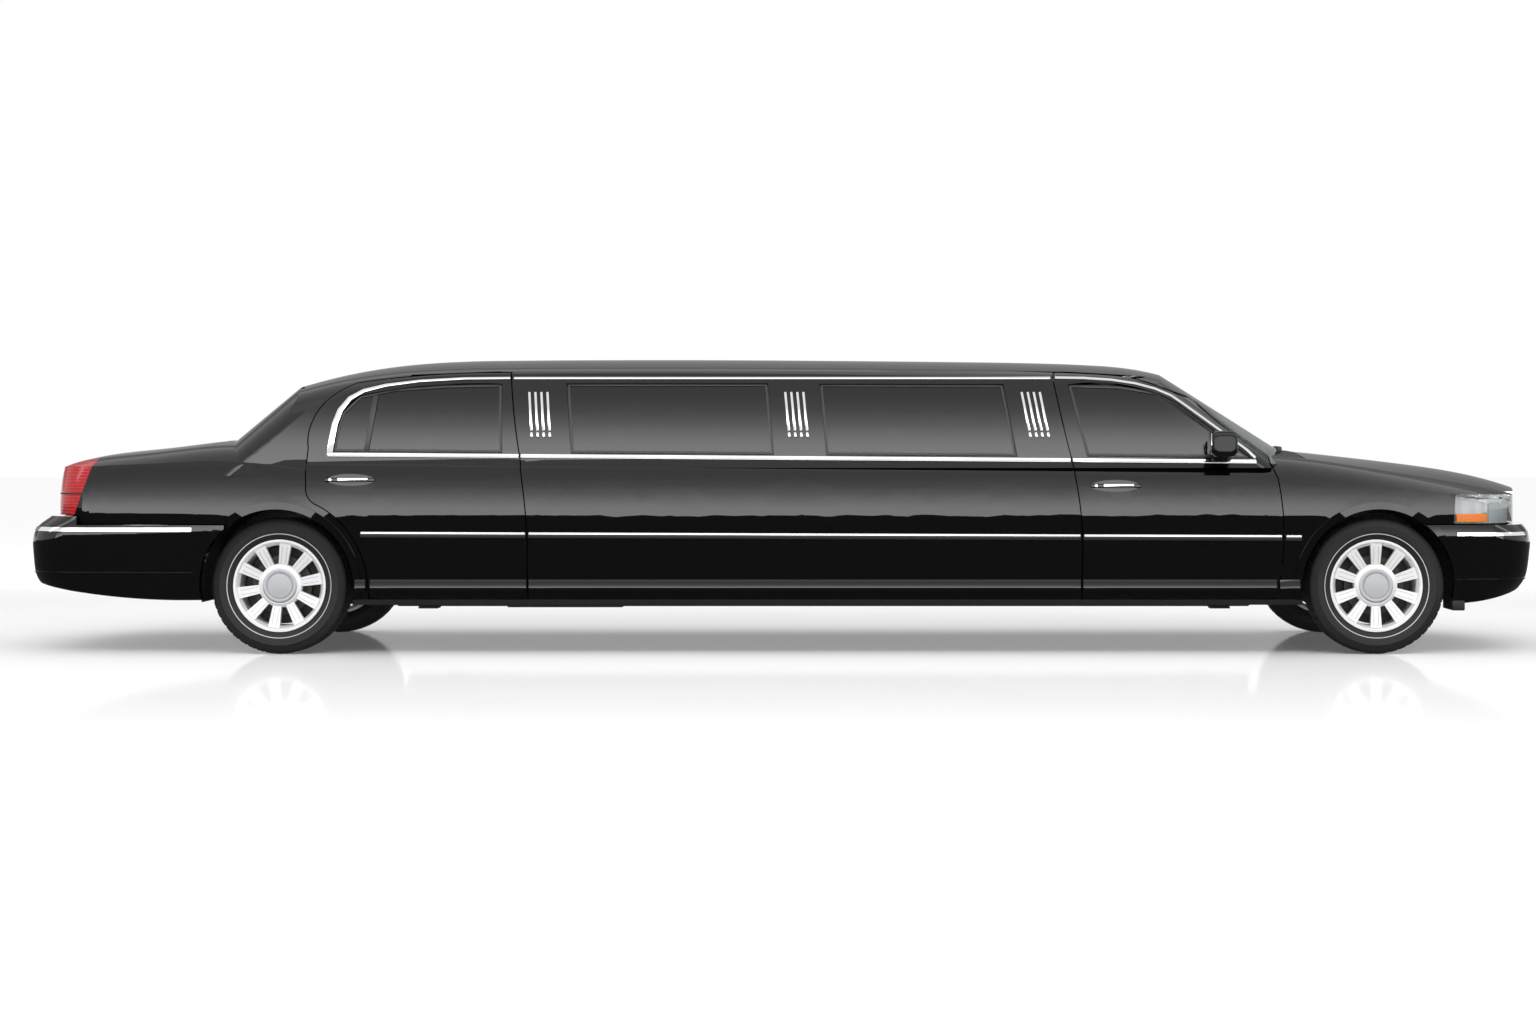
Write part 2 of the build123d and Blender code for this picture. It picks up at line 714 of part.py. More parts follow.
tail_outline = grow(Face(Wire.make_polygon([(x, -1200, z) for x, z in tail_face])), -GLASS_GAP)
tail_prism = extrude(tail_outline, amount=1200 - LID_HALF, dir=(0, 1, 0))
tail_lamp = biggest(((rear_solid - body_lamp_in) & tail_prism) - lid_hole)
boot_shell = rear_solid - (plan_loft(BODY_ROWS, NOSE, TAIL, LID_REAR_WALL) & deck_top_in)
boot_lid = biggest(boot_shell & lid_zone)

# Roof, A-pillars, windscreen, rear window and cowl

roof_zone = profile_y(
    [(2250, SCREEN_TOP), (1990, SCREEN_TOP), (1880, 1404), (1450, ROOF_SEAT), (-1450, ROOF_SEAT)]
    + sail_top[::-1]
    + [(-2526, BACK_TOP), (-2800, BACK_TOP), (-2800, 1600), (2250, 1600)],
    -1000,
    1000,
)
roof = biggest((house_out - house_in) & roof_zone)
pillar_top = SCREEN_TOP - GLASS_GAP
pillar_zone = profile_y(
    [
        (2449, 900),
        (2449, 1000),
        (2049, 1302),
        (1990, pillar_top),
        (1880, 1403),
        (1500, 1423),
        (1500, 900),
    ],
    -1200,
    -300,
)
pillar = biggest((upper_wall & pillar_zone) - front_door_cut - top_loft(HOOD_ROWS, -GLASS_GAP) - belt_top)
pane_shell = house_out - house_pane_in
screen_zone = profile_y(
    [
        (2449 + GLASS_GAP, 960),
        (2449 + GLASS_GAP, 1000),
        (2049 + GLASS_GAP, 1302),
        (1990 + GLASS_GAP, SCREEN_TOP - GLASS_GAP),
        (2400, SCREEN_TOP - GLASS_GAP),
        (2900, 960),
    ],
    -1000,
    1000,
)
windscreen = (pane_shell & screen_zone) - top_loft(HOOD_ROWS, -GLASS_GAP)
windscreen = biggest(windscreen - front_door_cut - mirrored(front_door_cut))
back_zone = extrude(grow(back_face, -GLASS_GAP), amount=1000, dir=(1, 0, 0))
rear_pane = biggest((pane_shell & back_zone) - top_loft(DECK_ROWS, -GLASS_GAP))
cowl_end = HOOD_BACK - SHUT_GAP
cowl = ((hood_top - hood_top_in) & block(2452, cowl_end, -COWL_HALF, COWL_HALF, 800, 1200)) - house_loft
for side in (-1, 1):
    y0, y1 = sorted((side * LID_PAD_IN, side * LID_PAD_OUT))
    pad = block(HOOD_BACK - SHUT_GAP - PAD_ROOT, HOOD_BACK - GLASS_GAP, y0, y1, 0, 1200)
    cowl = cowl + ((top_loft(HOOD_ROWS, PAD_SUNK) - hood_top_in) & pad)
cowl = biggest(cowl)

# Bumpers with brackets that reach back to the frame

bumper_out = plan_loft(BUMPER_ROWS, NOSE, TAIL)
bumper_in = plan_loft(BUMPER_ROWS, NOSE, TAIL, BUMPER_WALL)
bumper_shell = bumper_out - bumper_in
bumper_lip_skin = plan_loft(BUMPER_ROWS, NOSE, TAIL, -LIP_PROUD)


def bumper_side(steps):
    return extrude(side_face(steps, y=-1100), amount=2200, dir=(0, 1, 0))


front_bumper_side = bumper_side([
    [(3200, 262), (3640, 290), (3960, 420)],
    [(3960, 420), (3960, BUMPER_TOP)],
    [(3960, BUMPER_TOP), (3200, BUMPER_TOP)],
    [(3200, BUMPER_TOP), (3200, 262)],
])
rear_bumper_side = bumper_side([
    [(-2800, 282), (-3500, 306), (-3960, 400)],
    [(-3960, 400), (-3960, REAR_STEP_TOP)],
    [(-3960, REAR_STEP_TOP), (REAR_STEP_X, REAR_STEP_TOP)],
    [(REAR_STEP_X, REAR_STEP_TOP), (REAR_STEP_X, BUMPER_TOP)],
    [(REAR_STEP_X, BUMPER_TOP), (-2800, BUMPER_TOP)],
    [(-2800, BUMPER_TOP), (-2800, 282)],
])
front_bumper = (bumper_shell & front_bumper_side) - front_arch - mirrored(front_arch)
rear_bumper = (bumper_shell & rear_bumper_side) - rear_arch - mirrored(rear_arch)
front_bumper_lip = arch_lip(bumper_lip_skin, bumper_in, AXLE_FRONT, front_arch) & front_bumper_side
rear_bumper_lip = arch_lip(bumper_lip_skin, bumper_in, AXLE_REAR, rear_arch) & rear_bumper_side
front_bumper = front_bumper + front_bumper_lip + mirrored(front_bumper_lip)
rear_bumper = rear_bumper + rear_bumper_lip + mirrored(rear_bumper_lip)
for side in (-1, 1):
    y0, y1 = sorted((side * RAIL_IN, side * RAIL_OUT))
    bracket = block(RAIL_FRONT_X, 3890, y0, y1, RAIL_FRONT_LOW, RAIL_FRONT_TOP)
    front_bumper = front_bumper + (bumper_out & bracket)
    bracket = block(-3890, -RAIL_REAR_X, y0, y1, RAIL_REAR_LOW, RAIL_REAR_TOP)
    rear_bumper = rear_bumper + (bumper_out & bracket)
front_bumper = biggest(front_bumper)
rear_bumper = biggest(rear_bumper)

# Frame: two rails with kicked-up ends and cross straps

rail = profile_y(
    [
        (2400, RAIL_LOW),
        (2600, RAIL_FRONT_LOW),
        (RAIL_FRONT_X, RAIL_FRONT_LOW),
        (RAIL_FRONT_X, RAIL_FRONT_TOP),
        (2580, RAIL_FRONT_TOP),
        (2360, FLOOR_LOW),
        (-2010, FLOOR_LOW),
        (-2230, RAIL_REAR_TOP),
        (-RAIL_REAR_X, RAIL_REAR_TOP),
        (-RAIL_REAR_X, RAIL_REAR_LOW),
        (-2200, RAIL_REAR_LOW),
        (-2010, RAIL_LOW),
    ],
    -RAIL_OUT,
    -RAIL_IN,
)
frame = rail + mirrored(rail)
for x in STRAPS:
    frame = frame + block(x - STRAP_HALF, x + STRAP_HALF, -RAIL_IN - 1, RAIL_IN + 1, STRAP_LOW, FLOOR_LOW)
frame = frame + block(-3600, -3520, -RAIL_IN - 1, RAIL_IN + 1, RAIL_REAR_LOW, RAIL_REAR_TOP)
frame = frame + block(3500, RAIL_FRONT_X, -RAIL_IN - 1, RAIL_IN + 1, RAIL_FRONT_LOW, RAIL_FRONT_TOP)
for x in JACK_X:
    pad = block(x - PAD_HALF, x + PAD_HALF, -RAIL_OUT - 40, -RAIL_IN, RAIL_LOW - PAD_HIGH, RAIL_LOW)
    frame = frame + pad + mirrored(pad)
frame = biggest(frame)


# Floor with the shaft tunnel, firewall, rear bulkhead and boot floor

floor_pan = block(FLOOR_REAR, FIREWALL_X, -FLOOR_HALF, FLOOR_HALF, FLOOR_LOW, FLOOR_TOP)
floor_pan = floor_pan - block(-3000, 3000, -TUNNEL_HALF, TUNNEL_HALF, 0, FLOOR_TOP + 5)
tunnel_out = TUNNEL_HALF + TUNNEL_WALL
tunnel = block(FLOOR_REAR, FIREWALL_X, -tunnel_out, tunnel_out, FLOOR_LOW, TUNNEL_TOP)
tunnel = tunnel - block(-3000, 3000, -TUNNEL_HALF, TUNNEL_HALF, 0, TUNNEL_TOP - TUNNEL_WALL)
floor_pan = floor_pan + tunnel
for side in (-1, 1):
    y0, y1 = sorted((side * (RAIL_IN - RAIL_GAP), side * (RAIL_OUT + RAIL_GAP)))
    floor_pan = floor_pan - block(2350, FIREWALL_X + 1, y0, y1, 0, FLOOR_TOP + 5)
    floor_pan = floor_pan - block(FLOOR_REAR - 1, -2000, y0, y1, 0, FLOOR_TOP + 5)
floor_pan = biggest(floor_pan)
firewall = block(FIREWALL_X, FIREWALL_X + PLATE, -FIREWALL_HALF, FIREWALL_HALF, FLOOR_LOW, FIREWALL_TOP)
firewall = firewall - block(2000, 3000, -TUNNEL_HALF, TUNNEL_HALF, 0, TUNNEL_TOP - TUNNEL_WALL)
for side in (-1, 1):
    y0, y1 = sorted((side * (RAIL_IN - RAIL_GAP), side * (RAIL_OUT + RAIL_GAP)))
    firewall = firewall - block(2000, 3000, y0, y1, 0, RAIL_FRONT_TOP + RAIL_GAP)
firewall = biggest(firewall)
bulkhead = block(FLOOR_REAR - PLATE, FLOOR_REAR, -BULKHEAD_HALF, BULKHEAD_HALF, FLOOR_LOW, SHELF_TOP)
bulkhead = bulkhead - block(-3000, -2000, -TUNNEL_HALF, TUNNEL_HALF, 0, TUNNEL_TOP - TUNNEL_WALL)
for side in (-1, 1):
    y0, y1 = sorted((side * (RAIL_IN - RAIL_GAP), side * (RAIL_OUT + RAIL_GAP)))
    bulkhead = bulkhead - block(-3000, -2000, y0, y1, 0, RAIL_REAR_TOP)
shelf = block(SHELF_REAR, FLOOR_REAR - PLATE, -BULKHEAD_HALF, BULKHEAD_HALF, SHELF_TOP - PLATE, SHELF_TOP)
bulkhead = biggest(bulkhead + shelf)
boot_top = RAIL_REAR_TOP + PLATE
boot_floor = block(BOOT_REAR, FLOOR_REAR - PLATE, -BOOT_HALF, BOOT_HALF, RAIL_REAR_TOP, boot_top)

# Engine block with gearbox, propeller shaft and exhaust

engine = block(2640, 3340, -290, 290, CROSS_TOP, 700)
engine = engine + block(2700, 3280, -200, 200, 700, 850)
engine = engine + cylinder_x(GEARBOX_X, 2640, 0, AXLE_Z, 90)
engine = biggest(engine)
shaft = cylinder_x(AXLE_REAR + DIFF_RADIUS, GEARBOX_X, 0, AXLE_Z, SHAFT_RADIUS)
pipe_z = STRAP_LOW - GLASS_GAP - PIPE_RADIUS
pipe = cylinder_x(-2080, 2300, -PIPE_Y, pipe_z, PIPE_RADIUS)
muffler = block(-1460, -860, -PIPE_Y - 110, -PIPE_Y + 110, pipe_z - 28, pipe_z + 20)
muffler = fillet(muffler.edges().filter_by(Axis.X), 20)
exhaust = biggest(pipe + muffler)

# Front suspension, knuckles and rear axle

suspension = block(AXLE_FRONT - 60, AXLE_FRONT + 60, -TOWER_OUT, TOWER_OUT, CROSS_LOW, CROSS_TOP)
for side in (-1, 1):
    y0, y1 = sorted((side * (RAIL_OUT + GLASS_GAP), side * TOWER_OUT))
    suspension = suspension + block(AXLE_FRONT - 60, AXLE_FRONT + 60, y0, y1, CROSS_LOW, UPPER_ARM_TOP)
    y0, y1 = sorted((side * RAIL_IN, side * RAIL_OUT))
    suspension = suspension + block(AXLE_FRONT - 60, AXLE_FRONT + 60, y0, y1, CROSS_TOP, RAIL_FRONT_LOW)
    for z0, z1 in ((CROSS_LOW, LOWER_ARM_TOP), (UPPER_ARM_LOW, UPPER_ARM_TOP)):
        arm = [
            (AXLE_FRONT - 95, side * (TOWER_OUT - 1)),
            (AXLE_FRONT + 95, side * (TOWER_OUT - 1)),
            (AXLE_FRONT + 26, side * KINGPIN_Y),
            (AXLE_FRONT - 26, side * KINGPIN_Y),
        ]
        suspension = suspension + profile_z(arm, z0, z1)
        suspension = suspension + Pos(AXLE_FRONT, side * KINGPIN_Y, (z0 + z1) / 2) * Cylinder(26, z1 - z0)
suspension = biggest(suspension)

knuckle_low = LOWER_ARM_TOP + GLASS_GAP
knuckle_top = UPPER_ARM_LOW - GLASS_GAP
knuckle = block(AXLE_FRONT - 28, AXLE_FRONT + 28, -KINGPIN_Y - 22, -KINGPIN_Y + 22, knuckle_low, knuckle_top)
knuckle = knuckle + cylinder_y(AXLE_FRONT, AXLE_Z, SPINDLE_RADIUS, -SPINDLE_END, -KINGPIN_Y)
knuckle = knuckle + cylinder_y(AXLE_FRONT, AXLE_Z, DISC_RADIUS, -DISC_OUT, -DISC_IN)
knuckle = biggest(knuckle)

axle = cylinder_y(AXLE_REAR, AXLE_Z, 45, -DISC_IN - 2, DISC_IN + 2)
axle = axle + cylinder_y(AXLE_REAR, AXLE_Z, SPINDLE_RADIUS, -SPINDLE_END, SPINDLE_END)
axle = axle + cylinder_x(AXLE_REAR - 120, AXLE_REAR + DIFF_RADIUS, 0, AXLE_Z, 105)
for side in (-1, 1):
    y0, y1 = sorted((side * DISC_IN, side * DISC_OUT))
    axle = axle + cylinder_y(AXLE_REAR, AXLE_Z, DISC_RADIUS, y0, y1)
    spring = Pos(AXLE_REAR, side * (RAIL_IN + RAIL_OUT) / 2, (AXLE_Z + RAIL_REAR_LOW) / 2)
    axle = axle + spring * Cylinder(52, RAIL_REAR_LOW - AXLE_Z)
axle = biggest(axle)

# Wheels: barrel, ten spokes and a plain cap; tyres with rounded shoulders


def ring(points, close=True):
    """Closed half profile of (radius, y) points turned about the wheel axis."""
    face = Face(Wire.make_polygon([(r, y, 0) for r, y in points], close=close))
    return revolve(face, Axis.Y, 360)


def make_wheel():
    barrel = ring([
        (RIM_RADIUS, -FACE_Y),
        (RIM_RADIUS, -FACE_Y + 10),
        (SEAT_RADIUS, -FACE_Y + 18),
        (SEAT_RADIUS, FACE_Y - 18),
        (RIM_RADIUS, FACE_Y - 10),
        (RIM_RADIUS, FACE_Y),
        (RIM_RADIUS - 14, FACE_Y),
        (SEAT_RADIUS - 12, FACE_Y - 16),
        (SEAT_RADIUS - 12, -FACE_Y + 24),
        (RIM_RADIUS - 16, -FACE_Y + 4),
        (RIM_RADIUS - 10, -FACE_Y),
    ])
    hub = ring([(0, -86), (92, -84), (108, -78), (112, -52), (60, -40), (0, -40)])
    wheel = barrel + hub
    spoke_face = Face(Wire.make_polygon([(95, -78, -21), (213, -91, -29), (213, -91, 29), (95, -78, 21)]))
    spoke = extrude(spoke_face, amount=26, dir=(0, 1, 0))
    for i in range(SPOKES):
        wheel = wheel + Rot(0, 90 + 360.0 / SPOKES * i, 0) * spoke
    bore = Pos(0, -62, 0) * Rot(90, 0, 0) * Cylinder(SPINDLE_RADIUS + RUN_CLEARANCE, 2 * (62 - BORE_END))
    return biggest(wheel - bore)


def make_tyre():
    bead = SEAT_RADIUS + GLASS_GAP
    flange = RIM_RADIUS + GLASS_GAP
    seat = FACE_Y - 18 - GLASS_GAP
    wall = TYRE_HALF
    edges = [
        line((bead, -seat, 0), (bead, seat, 0)),
        line((bead, seat, 0), (flange, seat + 8, 0)),
        line((flange, seat + 8, 0), (240, 92, 0)),
        arc((240, 92, 0), (280, wall, 0), (318, 103, 0)),
        arc((318, 103, 0), (336, 96, 0), (TYRE_RADIUS - 2, 80, 0)),
        arc((TYRE_RADIUS - 2, 80, 0), (TYRE_RADIUS, 0, 0), (TYRE_RADIUS - 2, -80, 0)),
        arc((TYRE_RADIUS - 2, -80, 0), (336, -96, 0), (318, -103, 0)),
        arc((318, -103, 0), (280, -wall, 0), (240, -92, 0)),
        line((240, -92, 0), (flange, -seat - 8, 0)),
        line((flange, -seat - 8, 0), (bead, -seat, 0)),
    ]
    return revolve(Face(Wire(edges)), Axis.Y, 360)


wheel = make_wheel()
tyre = make_tyre()

# Door mirrors

mirror = Pos(MIRROR_X, -MIRROR_Y, MIRROR_Z) * Box(130, 190, 130)
mirror = fillet(mirror.edges().filter_by(Axis.Y), 34)
mirror = fillet(mirror.faces().sort_by(Axis.Y)[0].edges(), 22)
foot = block(MIRROR_X - 40, MIRROR_X + 40, -MIRROR_Y + 80, -900, 968, 1016)
mirror = biggest((mirror + foot) - house_loft - (body_out & belt_top))

# Cabin: dashboard, steering wheel, seats, partition and bar cabinet

dashboard = extrude(
    Face(Wire.make_polygon([(x, -DASH_HALF, z) for x, z in DASH_ROWS])), amount=2 * DASH_HALF, dir=(0, 1, 0)
)
column_way = (math.cos(COLUMN_TILT), 0, -math.sin(COLUMN_TILT))
column_axis = Plane((WHEEL_X, DRIVER_Y, WHEEL_Z), x_dir=(0, 1, 0), z_dir=column_way)
steering = column_axis * Torus(185, 15)
steering = steering + column_axis * Cylinder(45, 40)
for degrees in (0, 180, 270):
    spoke = column_axis * Rot(0, 0, degrees) * Pos(95, 0, 0) * Box(180, 34, 14)
    steering = steering + spoke
steering = steering + column_axis * Pos(0, 0, 200) * Cylinder(28, 400)
steering = biggest(steering - dashboard)


def seat(x, y, width, depth, back_lean, back_top):
    """Cushion and back in one side profile, with rounded long edges."""
    points = [
        (x + depth, FLOOR_TOP),
        (x + depth, SEAT_TOP - 20),
        (x + depth - 30, SEAT_TOP),
        (x + 150, SEAT_TOP - 25),
        (x + 110 - back_lean, back_top - 20),
        (x + 80 - back_lean, back_top),
        (x - back_lean, back_top),
        (x - 10, SEAT_TOP - 60),
        (x, FLOOR_TOP),
    ]
    return profile_y(points, y - width / 2, y + width / 2)


front_seat = seat(1330, -DRIVER_Y, 540, 620, 110, 1050)
head_rest = block(1210, 1300, -DRIVER_Y - 130, -DRIVER_Y + 130, 1049, 1180)
front_seat = biggest(front_seat + fillet(head_rest.edges().filter_by(Axis.X), 40))
rear_bench = seat(FLOOR_REAR + 122, 0, 1480, 640, 110, 1060)
rear_bench = rear_bench - block(-3000, 3000, -tunnel_out, tunnel_out, 0, TUNNEL_TOP)
bench_rows = [
    (400, FLOOR_TOP),
    (400, SEAT_TOP),
    (130, SEAT_TOP - 10),
    (60, 940),
    (0, 940),
    (0, FLOOR_TOP),
]
side_bench = Rot(0, 0, -90) * profile_y(bench_rows, 0, SIDE_BENCH_LONG)
side_bench = Pos(SIDE_BENCH_REAR, SIDE_BENCH_Y, 0) * side_bench
partition = block(PARTITION_X, PARTITION_X + 40, -PARTITION_HALF, PARTITION_HALF, FLOOR_TOP, 985)
partition = partition - block(-3000, 3000, -tunnel_out, tunnel_out, 0, TUNNEL_TOP)
cabinet = block(-1000, 900, -CABINET_OUT, -CABINET_IN, FLOOR_TOP, 860)

# Wheel houses: arched shells that end against the inside of the side walls

house_skin = plan_loft(BODY_ROWS, NOSE, TAIL, FENDER_WALL + GLASS_GAP)
bumper_lining = plan_loft(BUMPER_ROWS, NOSE, TAIL, BUMPER_WALL + GLASS_GAP)
houses = []
for axle_x, inner, closed in HOUSES:
    shell = cylinder_y(axle_x, TYRE_RADIUS, LINER_RADIUS + LINER_WALL, -1000, -inner)
    hollow = -inner - LINER_WALL if closed else -inner + LINER_WALL
    shell = shell - cylinder_y(axle_x, TYRE_RADIUS, LINER_RADIUS, -1001, hollow)
    shell = shell & block(axle_x - 500, axle_x + 500, -1000, 0, LINER_LOW, 1000)
    x0, x1 = sorted((axle_x, axle_x * 1.2))
    behind_bumper = block(x0, x1, -1100, 0, 0, bumper_seat) - bumper_lining
    houses.append(biggest((shell & house_skin) - behind_bumper))

# Radiator behind the grille

radiator = block(RADIATOR_X, RADIATOR_X + 60, -RADIATOR_HALF, RADIATOR_HALF, RAIL_FRONT_TOP, 790)
radiator = radiator & (front_solid & hood_top_in)


def at_wheel(shape, axle, side, degrees):
    turned = Rot(0, degrees, 0) * shape
    if side > 0:
        turned = turned.mirror(Plane.XZ)
    return Pos(axle, side * WHEEL_Y, TYRE_RADIUS) * turned


save("roof_panel", roof)
save("a_pillars", pillar, mirrored(pillar))
save("windscreen", windscreen)
save("rear_window", rear_pane)
save("stretch_panel_right", stretch)
save("stretch_panel_left", mirrored(stretch))
save("stretch_windows_right", *stretch_glass)
save("stretch_windows_left", *[mirrored(g) for g in stretch_glass])
save("quarter_panel_right", quarter)
save("quarter_panel_left", mirrored(quarter))
save("front_fender_right", fender)
save("front_fender_left", mirrored(fender))
save("sills", sill, mirrored(sill))
save("cowl", cowl)
save("front_bumper", front_bumper)
save("rear_bumper", rear_bumper)
save("grille", grille)
save("wheel_houses", *houses, *[mirrored(h) for h in houses])
save("headlamps", headlamp, mirrored(headlamp))
save("tail_lamps", tail_lamp, mirrored(tail_lamp))
save("hood", hood)
save("boot_lid", boot_lid)
save("front_door_right", front_door)
save("front_door_left", mirrored(front_door))
save("rear_door_right", rear_door)
save("rear_door_left", mirrored(rear_door))
save("front_glass_right", front_glass)
save("front_glass_left", mirrored(front_glass))
save("rear_glass_right", rear_glass)
save("rear_glass_left", mirrored(rear_glass))
save("mirror_right", mirror)
save("mirror_left", mirrored(mirror))
save("frame", frame)
save("floor_pan", floor_pan)
save("firewall", firewall)
save("rear_bulkhead", bulkhead)
save("boot_floor", boot_floor)
save("engine", engine)
save("propeller_shaft", shaft)
save("exhaust", exhaust, mirrored(exhaust))
save("front_suspension", suspension)
save("rear_axle", axle)
save("knuckle_right", knuckle)
save("knuckle_left", mirrored(knuckle))
save("radiator", radiator)
save("dashboard", dashboard)
save("steering_wheel", steering)
save("front_seats", front_seat, mirrored(front_seat))
save("lounge_seats", rear_bench, side_bench)
save("partition", partition)
save("bar_cabinet", cabinet)
for name, axle_x, side, degrees in WHEELS:
    save("wheel_" + name, at_wheel(wheel, axle_x, side, degrees))
    save("tyre_" + name, at_wheel(tyre, axle_x, side, 0.0))
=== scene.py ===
import logging
import math
from contextlib import contextmanager
from dataclasses import dataclass, field
from enum import Enum
from typing import Callable, Iterator, Sequence

import bmesh
import bpy
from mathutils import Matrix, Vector


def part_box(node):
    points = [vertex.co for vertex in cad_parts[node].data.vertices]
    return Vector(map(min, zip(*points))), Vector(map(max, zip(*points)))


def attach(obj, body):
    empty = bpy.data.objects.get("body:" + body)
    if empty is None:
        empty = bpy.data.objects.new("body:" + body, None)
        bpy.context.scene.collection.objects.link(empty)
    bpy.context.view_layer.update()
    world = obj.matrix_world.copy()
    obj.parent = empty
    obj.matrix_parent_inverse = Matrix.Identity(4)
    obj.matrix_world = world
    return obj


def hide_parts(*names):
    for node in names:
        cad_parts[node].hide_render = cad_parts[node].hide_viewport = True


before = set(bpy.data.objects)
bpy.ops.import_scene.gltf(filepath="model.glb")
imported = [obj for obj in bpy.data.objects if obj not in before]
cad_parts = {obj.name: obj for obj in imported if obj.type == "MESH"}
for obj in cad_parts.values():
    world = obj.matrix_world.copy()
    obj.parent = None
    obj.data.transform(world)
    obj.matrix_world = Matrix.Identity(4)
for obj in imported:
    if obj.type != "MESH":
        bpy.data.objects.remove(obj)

logging.basicConfig(level=logging.INFO, format="%(name)s: %(message)s")
log = logging.getLogger("limousine")

Object = bpy.types.Object
Point = tuple[float, float]
NODES: dict[str, Object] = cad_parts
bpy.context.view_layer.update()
ORIGIN = (0.0, 0.0, 0.0)
# Points closer than this are one, in metres
WELD = 1e-5
# Length of one band of the wave texture at scale 1, in millimetres
WAVE_MM = 314.0
# Stretch of a mottle between pure tone and pure colour
MOTTLE_LOW, MOTTLE_HIGH = 0.3, 0.7


class Side(Enum):
    """The two sides of the car, as the sign of y."""

    RIGHT = -1
    LEFT = 1

    @property
    def tag(self) -> str:
        """The side's name as the CAD nodes spell it."""
        return self.name.lower()


def sided(*stems: str) -> tuple[str, ...]:
    """The right and the left node of each stem."""
    return tuple(stem + "_" + side.tag for stem in stems for side in Side)


def to_linear(code: str) -> tuple[float, float, float, float]:
    """Turns an sRGB hex colour into linear values.

    Args:
        code: colour such as "#1A1B1D".

    Returns:
        Linear red, green, blue and an alpha of 1.
    """
    parts = [int(code[i : i + 2], 16) / 255 for i in (1, 3, 5)]
    red, green, blue = [c / 12.92 if c <= 0.04045 else ((c + 0.055) / 1.055) ** 2.4 for c in parts]
    return (red, green, blue, 1.0)


def add_node(
    tree: bpy.types.NodeTree, kind: str, inputs: dict[str, object] | None = None, **settings: object
) -> bpy.types.Node:
    """Adds one node with its settings and links.

    Args:
        tree: node tree that takes it.
        kind: Blender's name for the node type.
        inputs: socket names with a value, or with the socket that feeds them.
        **settings: properties of the node itself.

    Returns:
        The new node.
    """
    node = tree.nodes.new(kind)
    for name, value in settings.items():
        setattr(node, name, value)
    for name, value in (inputs or {}).items():
        if isinstance(value, bpy.types.NodeSocket):
            tree.links.new(value, node.inputs[name])
        else:
            node.inputs[name].default_value = value
    return node


@dataclass(frozen=True)
class Finish:
    """A surface: Principled values, with a mottle that drives colour, gloss and relief.

    Attributes:
        name: real material and how its surface was made.
        slot: record slot it stands for.
        colour: main colour, sRGB hex.
        tone: colour at the other end of the mottle.
        roughness: mean roughness.
        spread: how far the mottle moves the roughness.
        grain_mm: size of one patch of the mottle.
        relief_mm: depth of the relief.
    """

    name: str
    slot: str
    colour: str
    tone: str
    roughness: float
    spread: float = 0.0
    grain_mm: float = 6.0
    relief_mm: float = 0.0
    metallic: float = 0.0
    ior: float = 1.5
    specular: float = 0.5
    coat: float = 0.0
    coat_roughness: float = 0.03
    transmission: float = 0.0
    sheen: float = 0.0

    def pattern(self, tree: bpy.types.NodeTree) -> bpy.types.NodeSocket:
        """Builds the mottle.

        Args:
            tree: node tree of the material.

        Returns:
            Socket that runs from 0 to 1 over the surface.
        """
        place = add_node(tree, "ShaderNodeTexCoord")
        grain = add_node(
            tree,
            "ShaderNodeTexNoise",
            {"Vector": place.outputs["Object"], "Scale": 1000 / self.grain_mm, "Detail": 4.0},
        )
        return grain.outputs["Fac"]

    def build(self) -> bpy.types.Material:
        """Makes the material, or finds it if it was made before.

        Returns:
            The material.
        """
        known = bpy.data.materials.get(self.name)
        if known:
            return known
        material = bpy.data.materials.new(self.name)
        material.use_nodes = True
        tree = material.node_tree
        shader = tree.nodes["Principled BSDF"]
        mottle = self.pattern(tree)
        ramp = add_node(tree, "ShaderNodeValToRGB", {"Fac": mottle})
        ramp.color_ramp.elements[0].color = to_linear(self.tone)
        ramp.color_ramp.elements[0].position = MOTTLE_LOW
        ramp.color_ramp.elements[1].color = to_linear(self.colour)
        ramp.color_ramp.elements[1].position = MOTTLE_HIGH
        tree.links.new(ramp.outputs["Color"], shader.inputs["Base Color"])
        if self.spread:
            low, high = self.roughness - self.spread, self.roughness + self.spread
            gloss = add_node(tree, "ShaderNodeMapRange", {"Value": mottle, "To Min": low, "To Max": high})
            tree.links.new(gloss.outputs["Result"], shader.inputs["Roughness"])
        else:
            shader.inputs["Roughness"].default_value = self.roughness
        if self.relief_mm:
            bump = add_node(tree, "ShaderNodeBump", {"Height": mottle, "Distance": self.relief_mm / 1000})
            tree.links.new(bump.outputs["Normal"], shader.inputs["Normal"])
        shader.inputs["Metallic"].default_value = self.metallic
        if not self.metallic:
            shader.inputs["IOR"].default_value = self.ior
            shader.inputs["Specular IOR Level"].default_value = self.specular
        shader.inputs["Coat Weight"].default_value = self.coat
        shader.inputs["Coat Roughness"].default_value = self.coat_roughness
        shader.inputs["Transmission Weight"].default_value = self.transmission
        shader.inputs["Sheen Weight"].default_value = self.sheen
        return material


